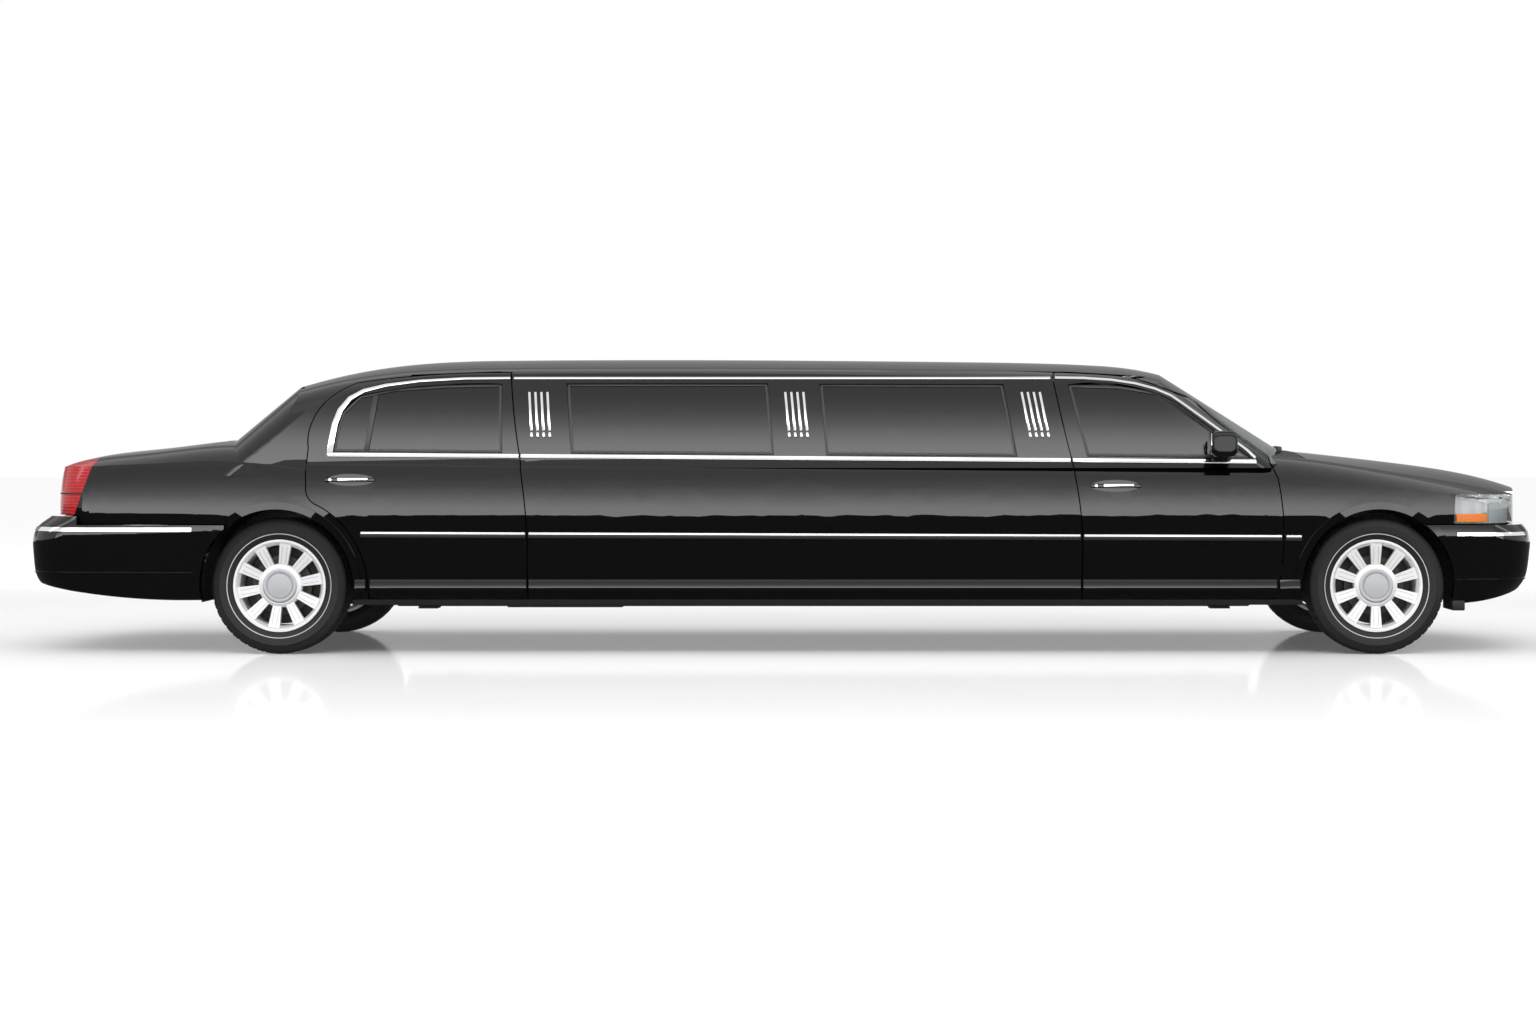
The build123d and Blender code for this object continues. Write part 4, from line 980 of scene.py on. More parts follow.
@dataclass
class WindowTrim:
    """Bright frames, black channels and divider bars of the side windows."""

    frame_thick: float = 0.006
    front_frame_wide: float = 0.012
    channel: float = 0.013
    channel_thick: float = 0.005
    channel_round: float = 0.001
    channel_inset: float = 0.009
    channel_step: float = 0.09
    # Divider of the rear door window: its foot, how far it leans and rises, and its section
    divider_foot: Point = (-2.097, 1.026)
    divider_lean: float = 0.030
    divider_rise: float = 0.276
    divider_wide: float = 0.026
    divider_thick: float = 0.010
    divider_steps: int = 4
    # Chrome over the rear door window: x, z, width, from the belt to the front edge
    rear_frame: tuple = (
        (-2.278, 1.002, 0.030), (-2.272, 1.080, 0.030), (-2.262, 1.160, 0.029), (-2.241, 1.228, 0.026),
        (-2.196, 1.289, 0.022), (-2.130, 1.328, 0.018), (-2.020, 1.356, 0.015), (-1.850, 1.378, 0.012),
        (-1.620, 1.391, 0.011), (-1.391, 1.393, 0.011),
    )
    # Chrome over the front door window: x, z, from the rear edge to the tip
    front_frame: tuple = (
        (1.375, 1.393), (1.520, 1.391), (1.660, 1.382), (1.780, 1.364), (1.880, 1.337), (1.960, 1.302),
        (2.020, 1.259), (2.120, 1.184), (2.230, 1.101), (2.330, 1.025), (2.368, 0.988),
    )
    # Pane outlines: CAD node, body, corner points
    panes: tuple = (
        ("front_glass_right", "front_door_right",
         ((1.437, 1.362), (1.524, 0.995), (2.352, 0.987), (1.990, 1.270), (1.880, 1.325), (1.700, 1.355))),
        ("rear_glass_right", "rear_door_right",
         ((-1.430, 1.366), (-1.412, 1.012), (-2.266, 1.018), (-2.257, 1.120), (-2.232, 1.220),
          (-2.150, 1.306), (-1.980, 1.342), (-1.720, 1.360))),
        ("stretch_windows_right", "body",
         ((-1.105, 1.368), (-1.068, 1.010), (-0.045, 1.003), (-0.082, 1.368))),
        ("stretch_windows_right", "body",
         ((0.178, 1.366), (0.214, 1.001), (1.176, 0.995), (1.112, 1.364))),
    )

    def build(self) -> None:
        """Models the frames, channels and dividers and mirrors them."""
        path = [(x, z) for x, z, _ in self.rear_frame]
        widths = [w for _, _, w in self.rear_frame]
        front = [self.front_frame_wide] * len(self.front_frame)
        for door, path, width in (
            ("rear_door_right", path, widths),
            ("front_door_right", list(self.front_frame), front),
        ):
            piece = Bench.strip("window_frame_" + door, path, width, door, self.frame_thick)
            Bench.both_sides(piece, Finishes.CHROME, door)
        for number, (node, body, outline) in enumerate(self.panes):
            self.pane_channel(number, node, body, outline)
        foot_x, foot_z = self.divider_foot
        shares = [i / self.divider_steps for i in range(self.divider_steps + 1)]
        path = [(foot_x + self.divider_lean * t, foot_z + self.divider_rise * t) for t in shares]
        piece = Bench.strip(
            "window_divider_right", path, self.divider_wide, "rear_glass_right", self.divider_thick
        )
        Bench.both_sides(piece, Finishes.CHANNEL, "rear_door_right")

    def pane_channel(self, number: int, node: str, body: str, outline: Sequence[Point]) -> None:
        """Models the black channel that holds one pane.

        Args:
            number: which pane.
            node: CAD node of the pane.
            body: body that carries it.
            outline: corners of the opening.
        """
        centre = sum((Vector(p) for p in outline), Vector((0.0, 0.0))) / len(outline)
        loop = []
        for a, b in zip(outline, outline[1:] + outline[:1]):
            steps = max(1, round(math.dist(a, b) / self.channel_step))
            step_x, step_z = (b[0] - a[0]) / steps, (b[1] - a[1]) / steps
            loop += [(a[0] + step_x * i, a[1] + step_z * i) for i in range(steps)]
        inner = []
        for index, point in enumerate(loop):
            side = Vector(Bench.side_of(loop + [loop[0]], index, True))
            if side.dot(centre - Vector(point)) < 0:
                side = -side
            side = side * self.channel_inset
            inner.append((point[0] + side.x, point[1] + side.y))
        inner.append(inner[0])
        piece = Bench.strip(
            "window_channel_%d_right" % number,
            inner,
            self.channel,
            node,
            self.channel_thick,
            bevel=self.channel_round,
        )
        Bench.both_sides(piece, Finishes.CHANNEL, body)


@dataclass
class DoorFittings:
    """Bright covers and locks on the door pulls, mirror housings and mirror glass."""

    grip_long: float = 0.150
    grip_half_high: float = 0.0104
    grip_deep: float = 0.012
    grip_shift: float = 0.015
    cover: float = 0.0015
    lock_back: float = 0.098
    lock_out: float = 0.008
    lock_steps: int = 28
    # Lock's section from the middle of its face to the middle of its back: radius, y
    lock_profile: tuple = (
        (0.0, -0.0022), (0.0068, -0.0020), (0.0080, -0.0010), (0.0080, 0.0040), (0.0, 0.0040),
    )
    housing_cell: float = 0.005
    housing_rounds: int = 14
    housing_soft: float = 0.5
    # Lowest and highest corner of the right mirror's glass
    glass_low: tuple = (2.1235, -1.138, 1.008)
    glass_high: tuple = (2.1275, -0.985, 1.112)
    glass_round: float = 0.0018
    # Pulls: door, x and z of the cup's middle, half width of the car there
    pulls: tuple = (
        ("front_door_right", 1.665, 0.850, 0.9864),
        ("rear_door_right", -2.171, 0.880, 0.9827),
    )

    def build(self) -> None:
        """Models the fittings on the right and mirrors them."""
        for door, x, z, skin in self.pulls:
            self.pull(door, x, z, skin)
        for side in Side:
            self.housing(side)
        glass = Bench.block("mirror_glass_right", self.glass_low, self.glass_high, self.glass_round)
        Bench.both_sides(glass, Finishes.MIRROR, "front_door_right")

    def housing(self, side: Side) -> None:
        """Rounds a copy of the plain mirror housing.

        Args:
            side: which mirror.
        """
        node = "mirror_" + side.tag
        shell = Bench.skin("mirror_housing_" + side.tag, node, lambda f: True)
        Bench.modify(shell, "REMESH", mode="VOXEL", voxel_size=self.housing_cell)
        Bench.modify(shell, "SMOOTH", factor=self.housing_soft, iterations=self.housing_rounds)
        Bench.only(shell)
        bpy.ops.object.shade_smooth()
        Bench.dress(shell, Finishes.MOULDED, "front_door_" + side.tag, [node])

    def pull(self, door: str, x: float, z: float, skin: float) -> None:
        """Models the bright cover on one pull's bar and the lock beside it.

        Args:
            door: door that carries it.
            x: middle of the cup.
            z: middle of the cup.
            skin: half width of the car at the cup.
        """
        middle, half = x + self.grip_shift, self.grip_long / 2

        def on_bar(face: bmesh.types.BMFace) -> bool:
            """Whether a face belongs to the bar across the cup."""
            centre = face.calc_center_median()
            within = abs(centre.x - middle) < half and abs(centre.z - z) < self.grip_half_high
            return within and centre.y < self.grip_deep - skin

        ends = [((middle + half, 0, 0), (1, 0, 0)), ((middle - half, 0, 0), (-1, 0, 0))]
        cover = Bench.skin("pull_cover_" + door, door, on_bar, ends)
        Bench.modify(cover, "SOLIDIFY", thickness=self.cover, offset=1.0)
        Bench.both_sides(Bench.smoothed(cover), Finishes.CHROME, door)
        place = (x - self.lock_back, -skin - self.lock_out, z)
        lock = Bench.spun("door_lock_" + door, self.lock_profile, self.lock_steps, place)
        Bench.both_sides(lock, Finishes.CHROME, door)


@dataclass
class RoadWheels:
    """Tyres with tread and a white line, wheel caps, lines on the spokes, and brake shields that are partly
    painted shade.
    """

    NAMES = ("front_right", "front_left", "rear_right", "rear_left")
    axles: dict = field(default_factory=lambda: {"front": 2.988, "rear": -2.542})
    track: float = 0.800
    radius: float = 0.345
    tyre_steps: int = 180
    line_steps: int = 120
    cap_steps: int = 72
    # Brake shields: partly real dust shields, partly painted shade that darkens the view behind the spokes
    shield_steps: int = 64
    shield_track: float = 0.790
    rear_turn: float = 8.0
    # Shoulder grooves: lowest radius of the tread, where the outer rib lies, faces from one to the next
    tread_low: float = 0.335
    rib_from: float = 0.057
    rib_to: float = 0.090
    groove_every: int = 4
    groove_deep: float = 0.005
    # Lines on the spokes: distance from the middle, half width, lowest and highest radius, y of the
    # spoke's face at the axle, how far a line stands out and is sunk, its rounding, and the spoke's lean
    spokes: int = 10
    spoke_line: float = 0.0115
    spoke_line_half: float = 0.0012
    spoke_from: float = 0.112
    spoke_to: float = 0.200
    spoke_face: float = -0.0678
    spoke_out: float = 0.0002
    spoke_sunk: float = 0.0008
    spoke_round: float = 0.0003
    spoke_lean: float = math.degrees(math.atan2(0.013, 0.118))
    # Half of the tyre's section from the bead to the middle of the tread: radius, y
    section: tuple = (
        (0.2165, 0.078), (0.2400, 0.0925), (0.2500, 0.0990), (0.2640, 0.1062), (0.2800, 0.1115),
        (0.2950, 0.1110), (0.2990, 0.1122), (0.3030, 0.1098), (0.3180, 0.1032), (0.3300, 0.0985),
        (0.3370, 0.0930), (0.3415, 0.0860), (0.3432, 0.0780), (0.3437, 0.0560), (0.3360, 0.0545),
        (0.3360, 0.0475), (0.3442, 0.0460), (0.3446, 0.0230), (0.3370, 0.0215), (0.3370, 0.0145),
        (0.3449, 0.0130),
    )
    # Sections of the spun pieces, facing the right side: radius, y
    line_profile: tuple = ((0.2605, -0.1040), (0.2605, -0.1066), (0.2640, -0.1080), (0.2640, -0.1050))
    cap_profile: tuple = (
        (0.0, -0.0864), (0.0635, -0.0862), (0.0645, -0.0848), (0.0665, -0.0848), (0.0680, -0.0872),
        (0.0800, -0.0878), (0.0845, -0.0874), (0.0865, -0.0862), (0.0870, -0.0845), (0.0, -0.0845),
    )
    disc_profile: tuple = (
        (0.0, -0.0892), (0.030, -0.0890), (0.0615, -0.0884), (0.0630, -0.0866), (0.0, -0.0866),
    )
    shield_profile: tuple = (
        (0.034, 0.004), (0.034, 0.008), (0.196, 0.008), (0.196, 0.000), (0.190, 0.000), (0.188, 0.004),
    )

    def build(self) -> None:
        """Models one wheel's dress at the origin and copies it to the four corners."""
        tyre = self.tyre()
        line = Bench.spun("tyre_line", self.line_profile, self.line_steps)
        cap = Bench.spun("wheel_cap", self.cap_profile, self.cap_steps)
        disc = Bench.spun("cap_disc", self.disc_profile, self.cap_steps)
        grooves = self.grooves()
        # The brake shield is partly painted shade: a black disc wider than a real one, behind the spokes
        shield = Bench.spun("brake_shade_shield", self.shield_profile, self.shield_steps)
        for name in self.NAMES:
            end, side = name.split("_")
            sign = Side[side.upper()].value
            place = (self.axles[end], sign * self.track, self.radius)
            body = "wheel_" + name
            flip = sign > 0
            tread = Bench.copied(tyre, "tread_tyre_" + name, place)
            Bench.dress(tread, Finishes.RUBBER, body, ["tyre_" + name])
            for pattern, stem, finish in (
                (line, "tyre_line_", Finishes.LINE),
                (cap, "wheel_cap_", Finishes.TURNED),
                (disc, "cap_disc_", Finishes.TURNED),
            ):
                Bench.dress(Bench.copied(pattern, stem + name, place, flip), finish, body)
            turned = Bench.copied(grooves, "spoke_grooves_" + name, ORIGIN, flip)
            if end == "rear":
                Bench.turned(turned, self.rear_turn, "Y", ORIGIN)
            Bench.dress(Bench.copied(turned, "spoke_lines_" + name, place), Finishes.TURNED, body)
            bpy.data.objects.remove(turned)
            still = "body" if end == "rear" else "knuckle_" + side
            plate = (place[0], sign * self.shield_track, place[2])
            Bench.dress(Bench.copied(shield, "brake_shade_shield_" + name, plate, flip), Finishes.WAX, still)
        for pattern in (tyre, line, cap, disc, grooves, shield):
            bpy.data.objects.remove(pattern)

    def tyre(self) -> Object:
        """Spins the section and cuts shoulder grooves into the tread.

        Returns:
            The tyre at the origin.
        """
        left = [(r, -y) for r, y in self.section]
        obj = Bench.spun("tyre", left + list(reversed(self.section)), self.tyre_steps)
        turn = math.tau / self.tyre_steps

        def shoulder(face: bmesh.types.BMFace) -> bool:
            """Every fourth face across the outer ribs of the tread."""
            centre = face.calc_center_median()
            radius = math.hypot(centre.x, centre.z)
            if radius < self.tread_low or not self.rib_from < abs(centre.y) < self.rib_to:
                return False
            return round(math.atan2(centre.x, centre.z) / turn - 0.5) % self.groove_every == 0

        with Bench.editing(obj, "FACE"):
            Bench.pick(obj, "FACE", shoulder)
            sink = {"value": -self.groove_deep}
            bpy.ops.mesh.extrude_region_shrink_fatten(TRANSFORM_OT_shrink_fatten=sink)
        return Bench.clean(obj, 30.0)

    def grooves(self) -> Object:
        """Models two shallow lines on each of the spokes.

        Returns:
            All lines in one object, facing the right side.
        """
        pieces = []
        pitch = 360 / self.spokes
        for spoke in range(self.spokes):
            for offset in (-self.spoke_line, self.spoke_line):
                low = (offset - self.spoke_line_half, self.spoke_face - self.spoke_out, self.spoke_from)
                high = (offset + self.spoke_line_half, self.spoke_face + self.spoke_sunk, self.spoke_to)
                line = Bench.block("spoke_line", low, high, self.spoke_round, 1)
                Bench.turned(line, self.spoke_lean, "X", (0.0, self.spoke_face, 0.0))
                Bench.turned(line, -pitch * spoke, "Y", ORIGIN)
                pieces.append(line)
        return Bench.joined("spoke_grooves", pieces)


@dataclass
class SplashSkirts:
    """Black sheets that close the arches between the tyres and the bumpers."""

    radius: float = 0.391
    thick: float = 0.004
    hub_high: float = 0.345
    edge: float = 0.001
    steps: int = 10
    # Sheets: name, axle x, first and last angle in degrees, outer and inner y
    sheets: tuple = (
        ("front", 2.988, 18.6, -12.0, -0.862, -0.520),
        ("rear", -2.542, 161.4, 192.0, -0.925, -0.620),
    )

    def build(self) -> None:
        """Bends one sheet for each arch and mirrors it."""
        for name, axle, first, last, outer, inner in self.sheets:
            bpy.ops.object.select_all(action="DESELECT")
            bpy.ops.mesh.primitive_grid_add(x_subdivisions=self.steps, y_subdivisions=1, size=2.0)
            sheet = Bench.named("splash_skirt_%s_right" % name)
            for vertex in sheet.data.vertices:
                angle = math.radians(first + (last - first) * (vertex.co.x + 1) / 2)
                y = outer + (inner - outer) * (vertex.co.y + 1) / 2
                reach = (self.radius * math.cos(angle), self.radius * math.sin(angle))
                vertex.co = (axle + reach[0], y, self.hub_high + reach[1])
            Bench.modify(sheet, "SOLIDIFY", thickness=self.thick, offset=0.0)
            Bench.modify(sheet, "BEVEL", width=self.edge, segments=1, limit_method="ANGLE")
            Bench.both_sides(Bench.clean(sheet), Finishes.PLASTIC, "body")


@dataclass
class Lamps:
    """Head lamps: clear lenses, the bowls behind them and amber markers."""

    lens_thick: float = 0.003
    bowl_deep: float = 0.030
    bowl_thick: float = 0.004
    # Marker: where it ends towards the nose and the wheel, its lowest and highest z
    marker_front: float = 3.545
    marker_back: float = 3.386
    marker_low: float = 0.668
    marker_high: float = 0.708
    marker_proud: float = 0.0008
    marker_thick: float = 0.006
    # A face that leans out more than this belongs to the skin
    skin_lean: float = 0.25

    def faces_out(self, face: bmesh.types.BMFace) -> bool:
        """Whether a face belongs to the lamp's outer skin."""
        side = math.copysign(1.0, face.calc_center_median().y)
        return max(face.normal.x, face.normal.y * side) > self.skin_lean

    def build(self) -> None:
        """Models the lamps."""
        lens = Bench.skin("headlamp_lenses", "headlamps", self.faces_out)
        bowl = Bench.copied(lens, "headlamp_bowls")
        cuts = [
            ((self.marker_front, 0, 0), (1, 0, 0)),
            ((self.marker_back, 0, 0), (-1, 0, 0)),
            ((0, 0, self.marker_high), (0, 0, 1)),
            ((0, 0, self.marker_low), (0, 0, -1)),
        ]
        amber = Bench.skin("marker_lenses", "headlamps", self.faces_out, cuts)
        Bench.modify(lens, "SOLIDIFY", thickness=self.lens_thick, offset=-1.0)
        Bench.dress(Bench.smoothed(lens), Finishes.LENS, "body", ["headlamps"])
        Bench.fatten(bowl, -self.bowl_deep)
        Bench.modify(bowl, "SOLIDIFY", thickness=self.bowl_thick, offset=-1.0)
        Bench.dress(Bench.smoothed(bowl), Finishes.REFLECTOR, "body")
        Bench.fatten(amber, self.marker_proud)
        Bench.modify(amber, "SOLIDIFY", thickness=self.marker_thick, offset=-1.0)
        Bench.dress(Bench.smoothed(amber), Finishes.AMBER, "body")


@dataclass
class Ends:
    """Bright bumper strips, valance lips, blank plates, lamp divides, flaps and wipers."""

    strip_thick: float = 0.004
    plate_wide: float = 0.305
    plate_high: float = 0.110
    plate_thick: float = 0.014
    plate_round: float = 0.003
    # Plate's rim: its width, the width of the step and how deep the face lies
    rim_wide: float = 0.006
    rim_step: float = 0.001
    rim_deep: float = 0.002
    # Plates: name, body, x of the back, z of the middle, 1 for the nose and -1 for the tail
    plate_places: tuple = (
        ("number_plate_front", "body", 3.904, 0.470, 1.0),
        ("number_plate_rear", "boot_lid", -3.766, 0.772, -1.0),
    )
    divide_low: float = 0.806
    divide_high: float = 0.812
    divide_thick: float = 0.0015
    # Lowest and highest corner of the right flap before the front tyre
    flap_low: tuple = (3.364, -0.925, 0.222)
    flap_high: tuple = (3.428, -0.700, 0.272)
    flap_round: float = 0.006
    # A face that leans out more than this belongs to the skin, to the side only beyond the flank's y
    skin_lean: float = 0.3
    flank: float = 0.6
    arm_wide: tuple = (0.024, 0.020, 0.016, 0.012)
    arm_thick: float = 0.020
    arm_round: float = 0.003
    # Bright strips and valance lips: name, node, lowest z, highest z, end towards the wheel, finish
    strips: tuple = (
        ("bright_strip_front_bumper", "front_bumper", 0.597, 0.614, 3.386, Finishes.CHROME),
        ("bright_strip_rear_bumper", "rear_bumper", 0.620, 0.640, -2.965, Finishes.CHROME),
        ("valance_lip_front_bumper", "front_bumper", 0.372, 0.379, 3.386, Finishes.SKIN),
        ("valance_lip_rear_bumper", "rear_bumper", 0.408, 0.415, -2.965, Finishes.SKIN),
    )
    # Wiper arms seen from above: points of x and y
    arms: tuple = (
        ((2.618, -0.04), (2.606, -0.20), (2.580, -0.40), (2.540, -0.60)),
        ((2.618, 0.50), (2.622, 0.34), (2.622, 0.18), (2.620, 0.02)),
    )

    def build(self) -> None:
        """Models the pieces at the nose and the tail."""
        for name, node, low, high, end, finish in self.strips:
            way = math.copysign(1.0, end)
            cuts = [((0, 0, high), (0, 0, 1)), ((0, 0, low), (0, 0, -1)), ((end, 0, 0), (-way, 0, 0))]
            piece = Bench.skin(name, node, lambda f: self.outer(f, way), cuts)
            Bench.modify(piece, "SOLIDIFY", thickness=self.strip_thick, offset=1.0)
            Bench.dress(Bench.smoothed(piece), finish, "body")
        cuts = [((0, 0, self.divide_high), (0, 0, 1)), ((0, 0, self.divide_low), (0, 0, -1))]
        divide = Bench.skin("tail_lamp_divides", "tail_lamps", lambda f: self.outer(f, -1.0), cuts)
        Bench.modify(divide, "SOLIDIFY", thickness=self.divide_thick, offset=1.0)
        Bench.dress(Bench.smoothed(divide), Finishes.SEAL, "body")
        self.plates()
        flap = Bench.block("tyre_flap_right", self.flap_low, self.flap_high, self.flap_round)
        Bench.both_sides(flap, Finishes.PLASTIC, "body")
        for number, path in enumerate(self.arms):
            arm = Bench.strip(
                "wiper_arm_%d" % number,
                path,
                self.arm_wide,
                "cowl",
                self.arm_thick,
                sink=0.0,
                bevel=self.arm_round,
                down=True,
            )
            Bench.dress(arm, Finishes.PLASTIC, "body")

    def outer(self, face: bmesh.types.BMFace, way: float) -> bool:
        """Whether a face belongs to the outer skin of one end of the car.

        Args:
            face: face of the copied node.
            way: 1 for the nose, -1 for the tail.

        Returns:
            True on the outer skin.
        """
        centre = face.calc_center_median()
        side = math.copysign(1.0, centre.y)
        sideways = abs(centre.y) > self.flank and face.normal.y * side > self.skin_lean
        return face.normal.x * way > self.skin_lean or sideways

    def plates(self) -> None:
        """Models a blank plate with a raised rim at each end."""
        half = self.plate_wide / 2
        for name, body, x, z, way in self.plate_places:
            back, front = sorted((x, x + way * self.plate_thick))
            low, high = z - self.plate_high / 2, z + self.plate_high / 2
            plate = Bench.block(name, (back, -half, low), (front, half, high), self.plate_round)
            with Bench.editing(plate, "FACE"):
                Bench.pick(plate, "FACE", lambda f: f.normal.x * way > 0.99 and f.calc_area() > 0.01)
                bpy.ops.mesh.inset(thickness=self.rim_wide)
                bpy.ops.mesh.inset(thickness=self.rim_step, depth=-self.rim_deep)
            Bench.dress(Bench.smoothed(plate), Finishes.ENAMEL, body)


@dataclass
class Cabin:
    """Padded seats, carpet and the driver's instrument hood."""

    pressure: float = 4.0
    start_in: float = 0.012
    cap: float = 0.026
    frames: int = 20
    pleat: float = 0.092
    pleat_deep: float = 0.008
    pleat_wide: float = 0.011
    # Pleats start above this height, and the side bench lies between these x
    pleat_floor: float = 0.42
    bench_back: float = -1.2
    bench_front: float = 1.1
    cloth_quality: int = 4
    carpet_thick: float = 0.003
    # Instrument hood: lowest and highest corner, rounding, rim, and the recess for the dials
    hood_low: tuple = (2.075, 0.20, 0.925)
    hood_high: tuple = (2.235, 0.60, 0.995)
    hood_round: float = 0.024
    hood_rim: float = 0.008
    hood_step: float = 0.002
    hood_deep: float = 0.030
    # Seats: node, voxel size
    seats: tuple = (("front_seats", 0.014), ("lounge_seats", 0.020))

    def build(self) -> None:
        """Models the cabin's soft goods and trim."""
        for node, voxel in self.seats:
            self.padded(node, voxel)
        carpet = Bench.skin("cabin_carpet", "floor_pan", lambda f: f.normal.z > 0.3)
        Bench.modify(carpet, "SOLIDIFY", thickness=self.carpet_thick, offset=1.0)
        Bench.dress(carpet, Finishes.CARPET, "body")
        hood = Bench.block("instrument_hood", self.hood_low, self.hood_high, self.hood_round, 4)
        with Bench.editing(hood, "FACE"):
            Bench.pick(hood, "FACE", lambda f: f.normal.x < -0.99 and f.calc_area() > 0.005)
            bpy.ops.mesh.inset(thickness=self.hood_rim)
            bpy.ops.mesh.inset(thickness=self.hood_step, depth=-self.hood_deep)
        Bench.dress(Bench.smoothed(hood), Finishes.PLASTIC, "body")

    def padded(self, node: str, voxel: float) -> None:
        """Swells a copy of a plain seat by cloth under pressure and sews pleats into it.

        Args:
            node: CAD node of the plain seats.
            voxel: size of the remeshed cells in metres.
        """
        low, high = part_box(node)
        obj = Bench.skin("padded_" + node, node, lambda f: True)
        with Bench.editing(obj, "FACE"):
            bpy.ops.mesh.select_all(action="SELECT")
            bpy.ops.mesh.normals_make_consistent(inside=False)
            bpy.ops.transform.shrink_fatten(value=-self.start_in)
        Bench.modify(obj, "REMESH", mode="VOXEL", voxel_size=voxel)
        self.swell(obj, low, high)
        Bench.modify(obj, "SUBSURF", levels=1, render_levels=1)
        self.sew(obj)
        Bench.only(obj)
        bpy.ops.object.shade_smooth()
        Bench.dress(obj, Finishes.LEATHER, "body", [node])

    def swell(self, obj: Object, low: Sequence[float], high: Sequence[float]) -> None:
        """Runs the cloth and keeps the result inside the plain seat's space.

        Args:
            obj: remeshed seat.
            low: lowest corner of the plain seat's box.
            high: highest corner.
        """
        rest = [v.co.copy() for v in obj.data.vertices]
        Bench.only(obj)
        cloth = obj.modifiers.new("Padding", "CLOTH")
        cloth.settings.quality = self.cloth_quality
        cloth.settings.use_pressure = True
        cloth.settings.uniform_pressure_force = self.pressure
        cloth.settings.effector_weights.gravity = 0.0
        scene = bpy.context.scene
        for number in range(1, self.frames + 1):
            scene.frame_set(number)
        bpy.ops.object.modifier_apply(modifier=cloth.name)
        scene.frame_set(1)
        for vertex, start in zip(obj.data.vertices, rest):
            move = vertex.co - start
            if move.length > self.cap:
                vertex.co = start + move.normalized() * self.cap
            vertex.co = [min(max(c, a), b) for c, a, b in zip(vertex.co, low, high)]

    def sew(self, obj: Object) -> None:
        """Presses pleats into the cushions and the backs.

        Args:
            obj: swollen seats.
        """
        moves = []
        for vertex in obj.data.vertices:
            on_bench = self.bench_back < vertex.co.x < self.bench_front
            across = vertex.co.x if on_bench else vertex.co.y
            facing = vertex.normal.z > 0.5 or abs(vertex.normal.x) > 0.6 or on_bench
            off = (across / self.pleat) % 1.0
            off = min(off, 1.0 - off) * self.pleat / self.pleat_wide
            sewn = facing and vertex.co.z > self.pleat_floor
            press = self.pleat_deep * math.exp(-off * off) if sewn else 0.0
            moves.append(vertex.normal * press)
        for vertex, move in zip(obj.data.vertices, moves):
            vertex.co -= move


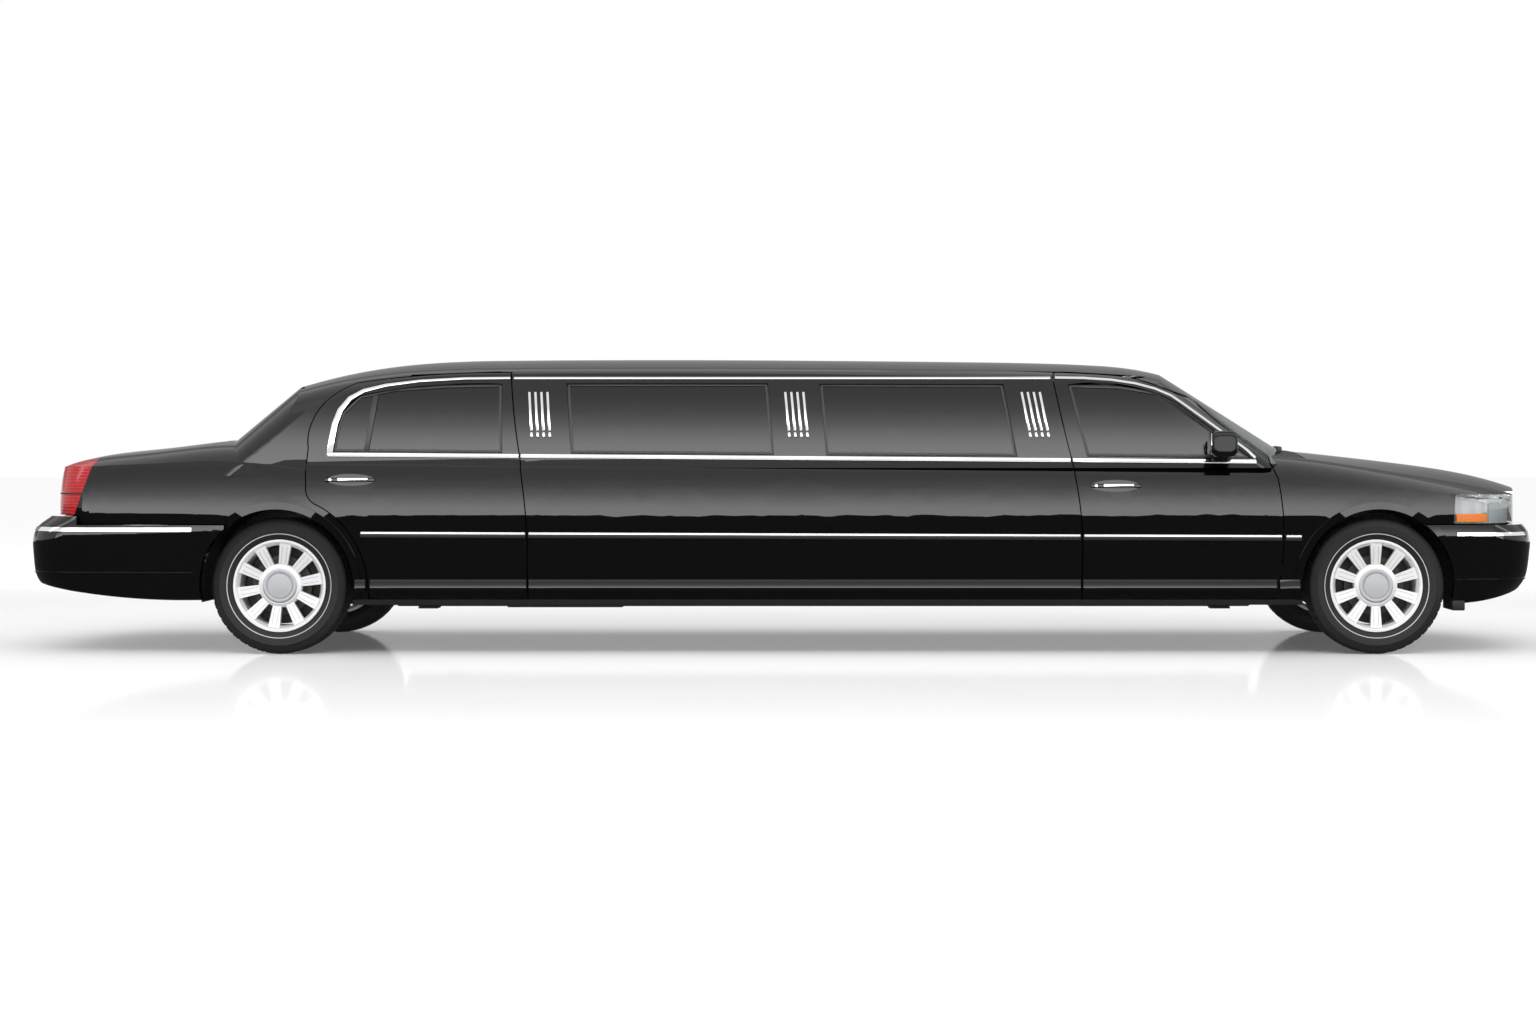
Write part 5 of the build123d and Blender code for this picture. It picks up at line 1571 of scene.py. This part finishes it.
@dataclass
class Studio:
    """Plain pale floor, soft light, reflector cards and the photograph's camera."""

    eye: tuple = (0.349, -14.552, 1.040)
    lens: float = 63.5
    shift: tuple = (-0.0553, -0.0417)
    sensor: float = 36.0
    far: float = 300.0
    air: float = 0.48
    floor_size: float = 160.0
    card_long: float = 60.0
    # Floor round the car: share of a length that counts as distance, then for the glow and the
    # shine the distance where the change starts and ends and the value at either end
    floor_squash: tuple = (0.42, 1.0, 0.0)
    glow: tuple = (4.0, 9.0, 0.10, 0.5)
    shine: tuple = (3.5, 7.5, 0.32, 0.0)
    # Brightness of the floor to polished surfaces
    floor_mirrored: float = 0.09
    # Soft boxes: name, place, turn in degrees, length, height, strength in watts
    boxes: tuple = (
        ("overhead", (0.0, -1.0, 7.0), (0.0, 0.0, 0.0), 14.0, 6.0, 170.0),
        ("front_high", (0.0, -8.5, 7.5), (48.0, 0.0, 0.0), 18.0, 4.0, 680.0),
        ("back_high", (0.0, 9.0, 7.0), (-50.0, 0.0, 0.0), 16.0, 4.0, 240.0),
    )
    # Cards that only polished surfaces see: name, y, lowest z, highest z, then height and brightness pairs
    cards: tuple = (
        ("front_card", -24.0, 0.0, 10.0,
         ((0.0, 4.4), (0.085, 4.2), (0.165, 3.4), (0.29, 2.2), (0.45, 1.4), (0.66, 1.0), (1.0, 0.9))),
        ("window_card", -9.0, 6.0, 13.0, ((0.0, 5.0), (0.2, 4.4), (0.45, 2.4), (0.65, 1.4), (0.9, 1.0))),
        ("back_card", 16.0, 0.0, 14.0, ((0.0, 1.05), (0.12, 1.05), (0.15, 0.34), (0.6, 0.28), (1.0, 0.6))),
    )

    def build(self) -> None:
        """Makes the floor, the light and the camera."""
        scene = bpy.context.scene
        scene.view_settings.view_transform = "Standard"
        bpy.ops.object.select_all(action="DESELECT")
        bpy.ops.mesh.primitive_plane_add(size=self.floor_size, location=ORIGIN)
        floor = Bench.named("studio_floor")
        floor.data.materials.append(self.floor_finish())
        for name, y, low, high, stops in self.cards:
            self.card(name, y, low, high, stops)
        for name, place, turn, long, high, watts in self.boxes:
            bpy.ops.object.light_add(type="AREA", location=place, rotation=[math.radians(a) for a in turn])
            lamp = bpy.context.object
            lamp.name = name
            lamp.data.shape = "RECTANGLE"
            lamp.data.size = long
            lamp.data.size_y = high
            lamp.data.energy = watts
            lamp.visible_glossy = False
        self.world(scene)
        bpy.ops.object.camera_add(location=self.eye, rotation=(math.pi / 2, 0.0, 0.0))
        camera = bpy.context.object
        camera.data.lens = self.lens
        camera.data.sensor_width = self.sensor
        camera.data.sensor_fit = "HORIZONTAL"
        camera.data.shift_x, camera.data.shift_y = self.shift
        camera.data.clip_end = self.far
        scene.camera = camera

    def card(self, name: str, y: float, low: float, high: float, stops: Sequence[Point]) -> None:
        """Hangs one upright card that gives paint and glass their gradients.

        Args:
            name: object name.
            y: where it hangs.
            low: height of its foot.
            high: height of its top.
            stops: pairs of place, from 0 at the foot to 1, and brightness.
        """
        middle = (0.0, y, (low + high) / 2)
        bpy.ops.mesh.primitive_plane_add(size=1.0, location=middle, rotation=(math.pi / 2, 0.0, 0.0))
        bpy.context.object.scale = (self.card_long, high - low, 1.0)
        card = Bench.named(name)
        peak = max(value for _, value in stops)
        material = bpy.data.materials.new("Studio card, " + name)
        material.use_nodes = True
        tree = material.node_tree
        tree.nodes.clear()
        place = add_node(tree, "ShaderNodeTexCoord")
        split = add_node(tree, "ShaderNodeSeparateXYZ", {"Vector": place.outputs["Object"]})
        rise = add_node(
            tree, "ShaderNodeMapRange", {"Value": split.outputs["Z"], "From Min": low, "From Max": high}
        )
        curve = add_node(tree, "ShaderNodeValToRGB", {"Fac": rise.outputs["Result"]})
        ramp = curve.color_ramp
        for index, (at, value) in enumerate(stops):
            step = ramp.elements[index] if index < 2 else ramp.elements.new(at)
            step.position = at
            step.color = (value / peak, value / peak, value / peak, 1.0)
        glow = add_node(tree, "ShaderNodeEmission", {"Color": curve.outputs["Color"], "Strength": peak})
        end = add_node(tree, "ShaderNodeOutputMaterial")
        tree.links.new(glow.outputs["Emission"], end.inputs["Surface"])
        card.data.materials.append(material)
        card.visible_camera = False
        card.visible_diffuse = False
        card.visible_transmission = False
        card.visible_shadow = False

    def floor_finish(self) -> bpy.types.Material:
        """Pale vinyl with a faint shine, brighter away from the car, that polished surfaces see as dark.

        Returns:
            The floor's material.
        """
        vinyl = Finish("Studio vinyl, white", "paint", "#FAFAFA", "#F8F8F8", 0.5, 0.01, 900.0, specular=0.0,
                       coat_roughness=0.07)
        material = vinyl.build()
        tree = material.node_tree
        shader = tree.nodes["Principled BSDF"]
        place = add_node(tree, "ShaderNodeTexCoord")
        flat = add_node(
            tree,
            "ShaderNodeVectorMath",
            {0: place.outputs["Object"], 1: self.floor_squash},
            operation="MULTIPLY",
        )
        span = add_node(tree, "ShaderNodeVectorMath", {0: flat.outputs["Vector"]}, operation="LENGTH")
        for values, easing, socket in (
            (self.glow, "SMOOTHSTEP", "Emission Strength"),
            (self.shine, "LINEAR", "Coat Weight"),
        ):
            inputs = dict(zip(("From Min", "From Max", "To Min", "To Max"), values))
            inputs["Value"] = span.outputs["Value"]
            fade = add_node(tree, "ShaderNodeMapRange", inputs, interpolation_type=easing)
            tree.links.new(fade.outputs["Result"], shader.inputs[socket])
        shader.inputs["Emission Color"].default_value = (1.0, 1.0, 1.0, 1.0)
        ray = add_node(tree, "ShaderNodeLightPath")
        dark = add_node(tree, "ShaderNodeEmission", {"Strength": self.floor_mirrored})
        mix = add_node(
            tree,
            "ShaderNodeMixShader",
            {0: ray.outputs["Is Glossy Ray"], 1: shader.outputs["BSDF"], 2: dark.outputs["Emission"]},
        )
        tree.links.new(mix.outputs["Shader"], tree.nodes["Material Output"].inputs["Surface"])
        return material

    def world(self, scene: bpy.types.Scene) -> None:
        """A soft even sky that the eye, metal and glass see as white.

        Args:
            scene: scene that takes the world.
        """
        world = bpy.data.worlds.new("Studio air")
        world.use_nodes = True
        scene.world = world
        tree = world.node_tree
        ground = tree.nodes["Background"]
        ray = add_node(tree, "ShaderNodeLightPath")
        seen = ray.outputs["Is Camera Ray"]
        for kind in ("Is Glossy Ray", "Is Transmission Ray"):
            either = add_node(tree, "ShaderNodeMath", {0: seen, 1: ray.outputs[kind]}, operation="MAXIMUM")
            seen = either.outputs[0]
        level = add_node(tree, "ShaderNodeMapRange", {"Value": seen, "To Min": self.air, "To Max": 1.0})
        tree.links.new(level.outputs["Result"], ground.inputs["Strength"])
        ground.inputs["Color"].default_value = (1.0, 1.0, 1.0, 1.0)


def main() -> None:
    """Builds the dressed car and its studio."""
    BodyShell().build()
    SideTrim().build()
    WindowTrim().build()
    DoorFittings().build()
    RoadWheels().build()
    SplashSkirts().build()
    Lamps().build()
    Ends().build()
    Cabin().build()
    Studio().build()


if __name__ == "__main__":
    main()
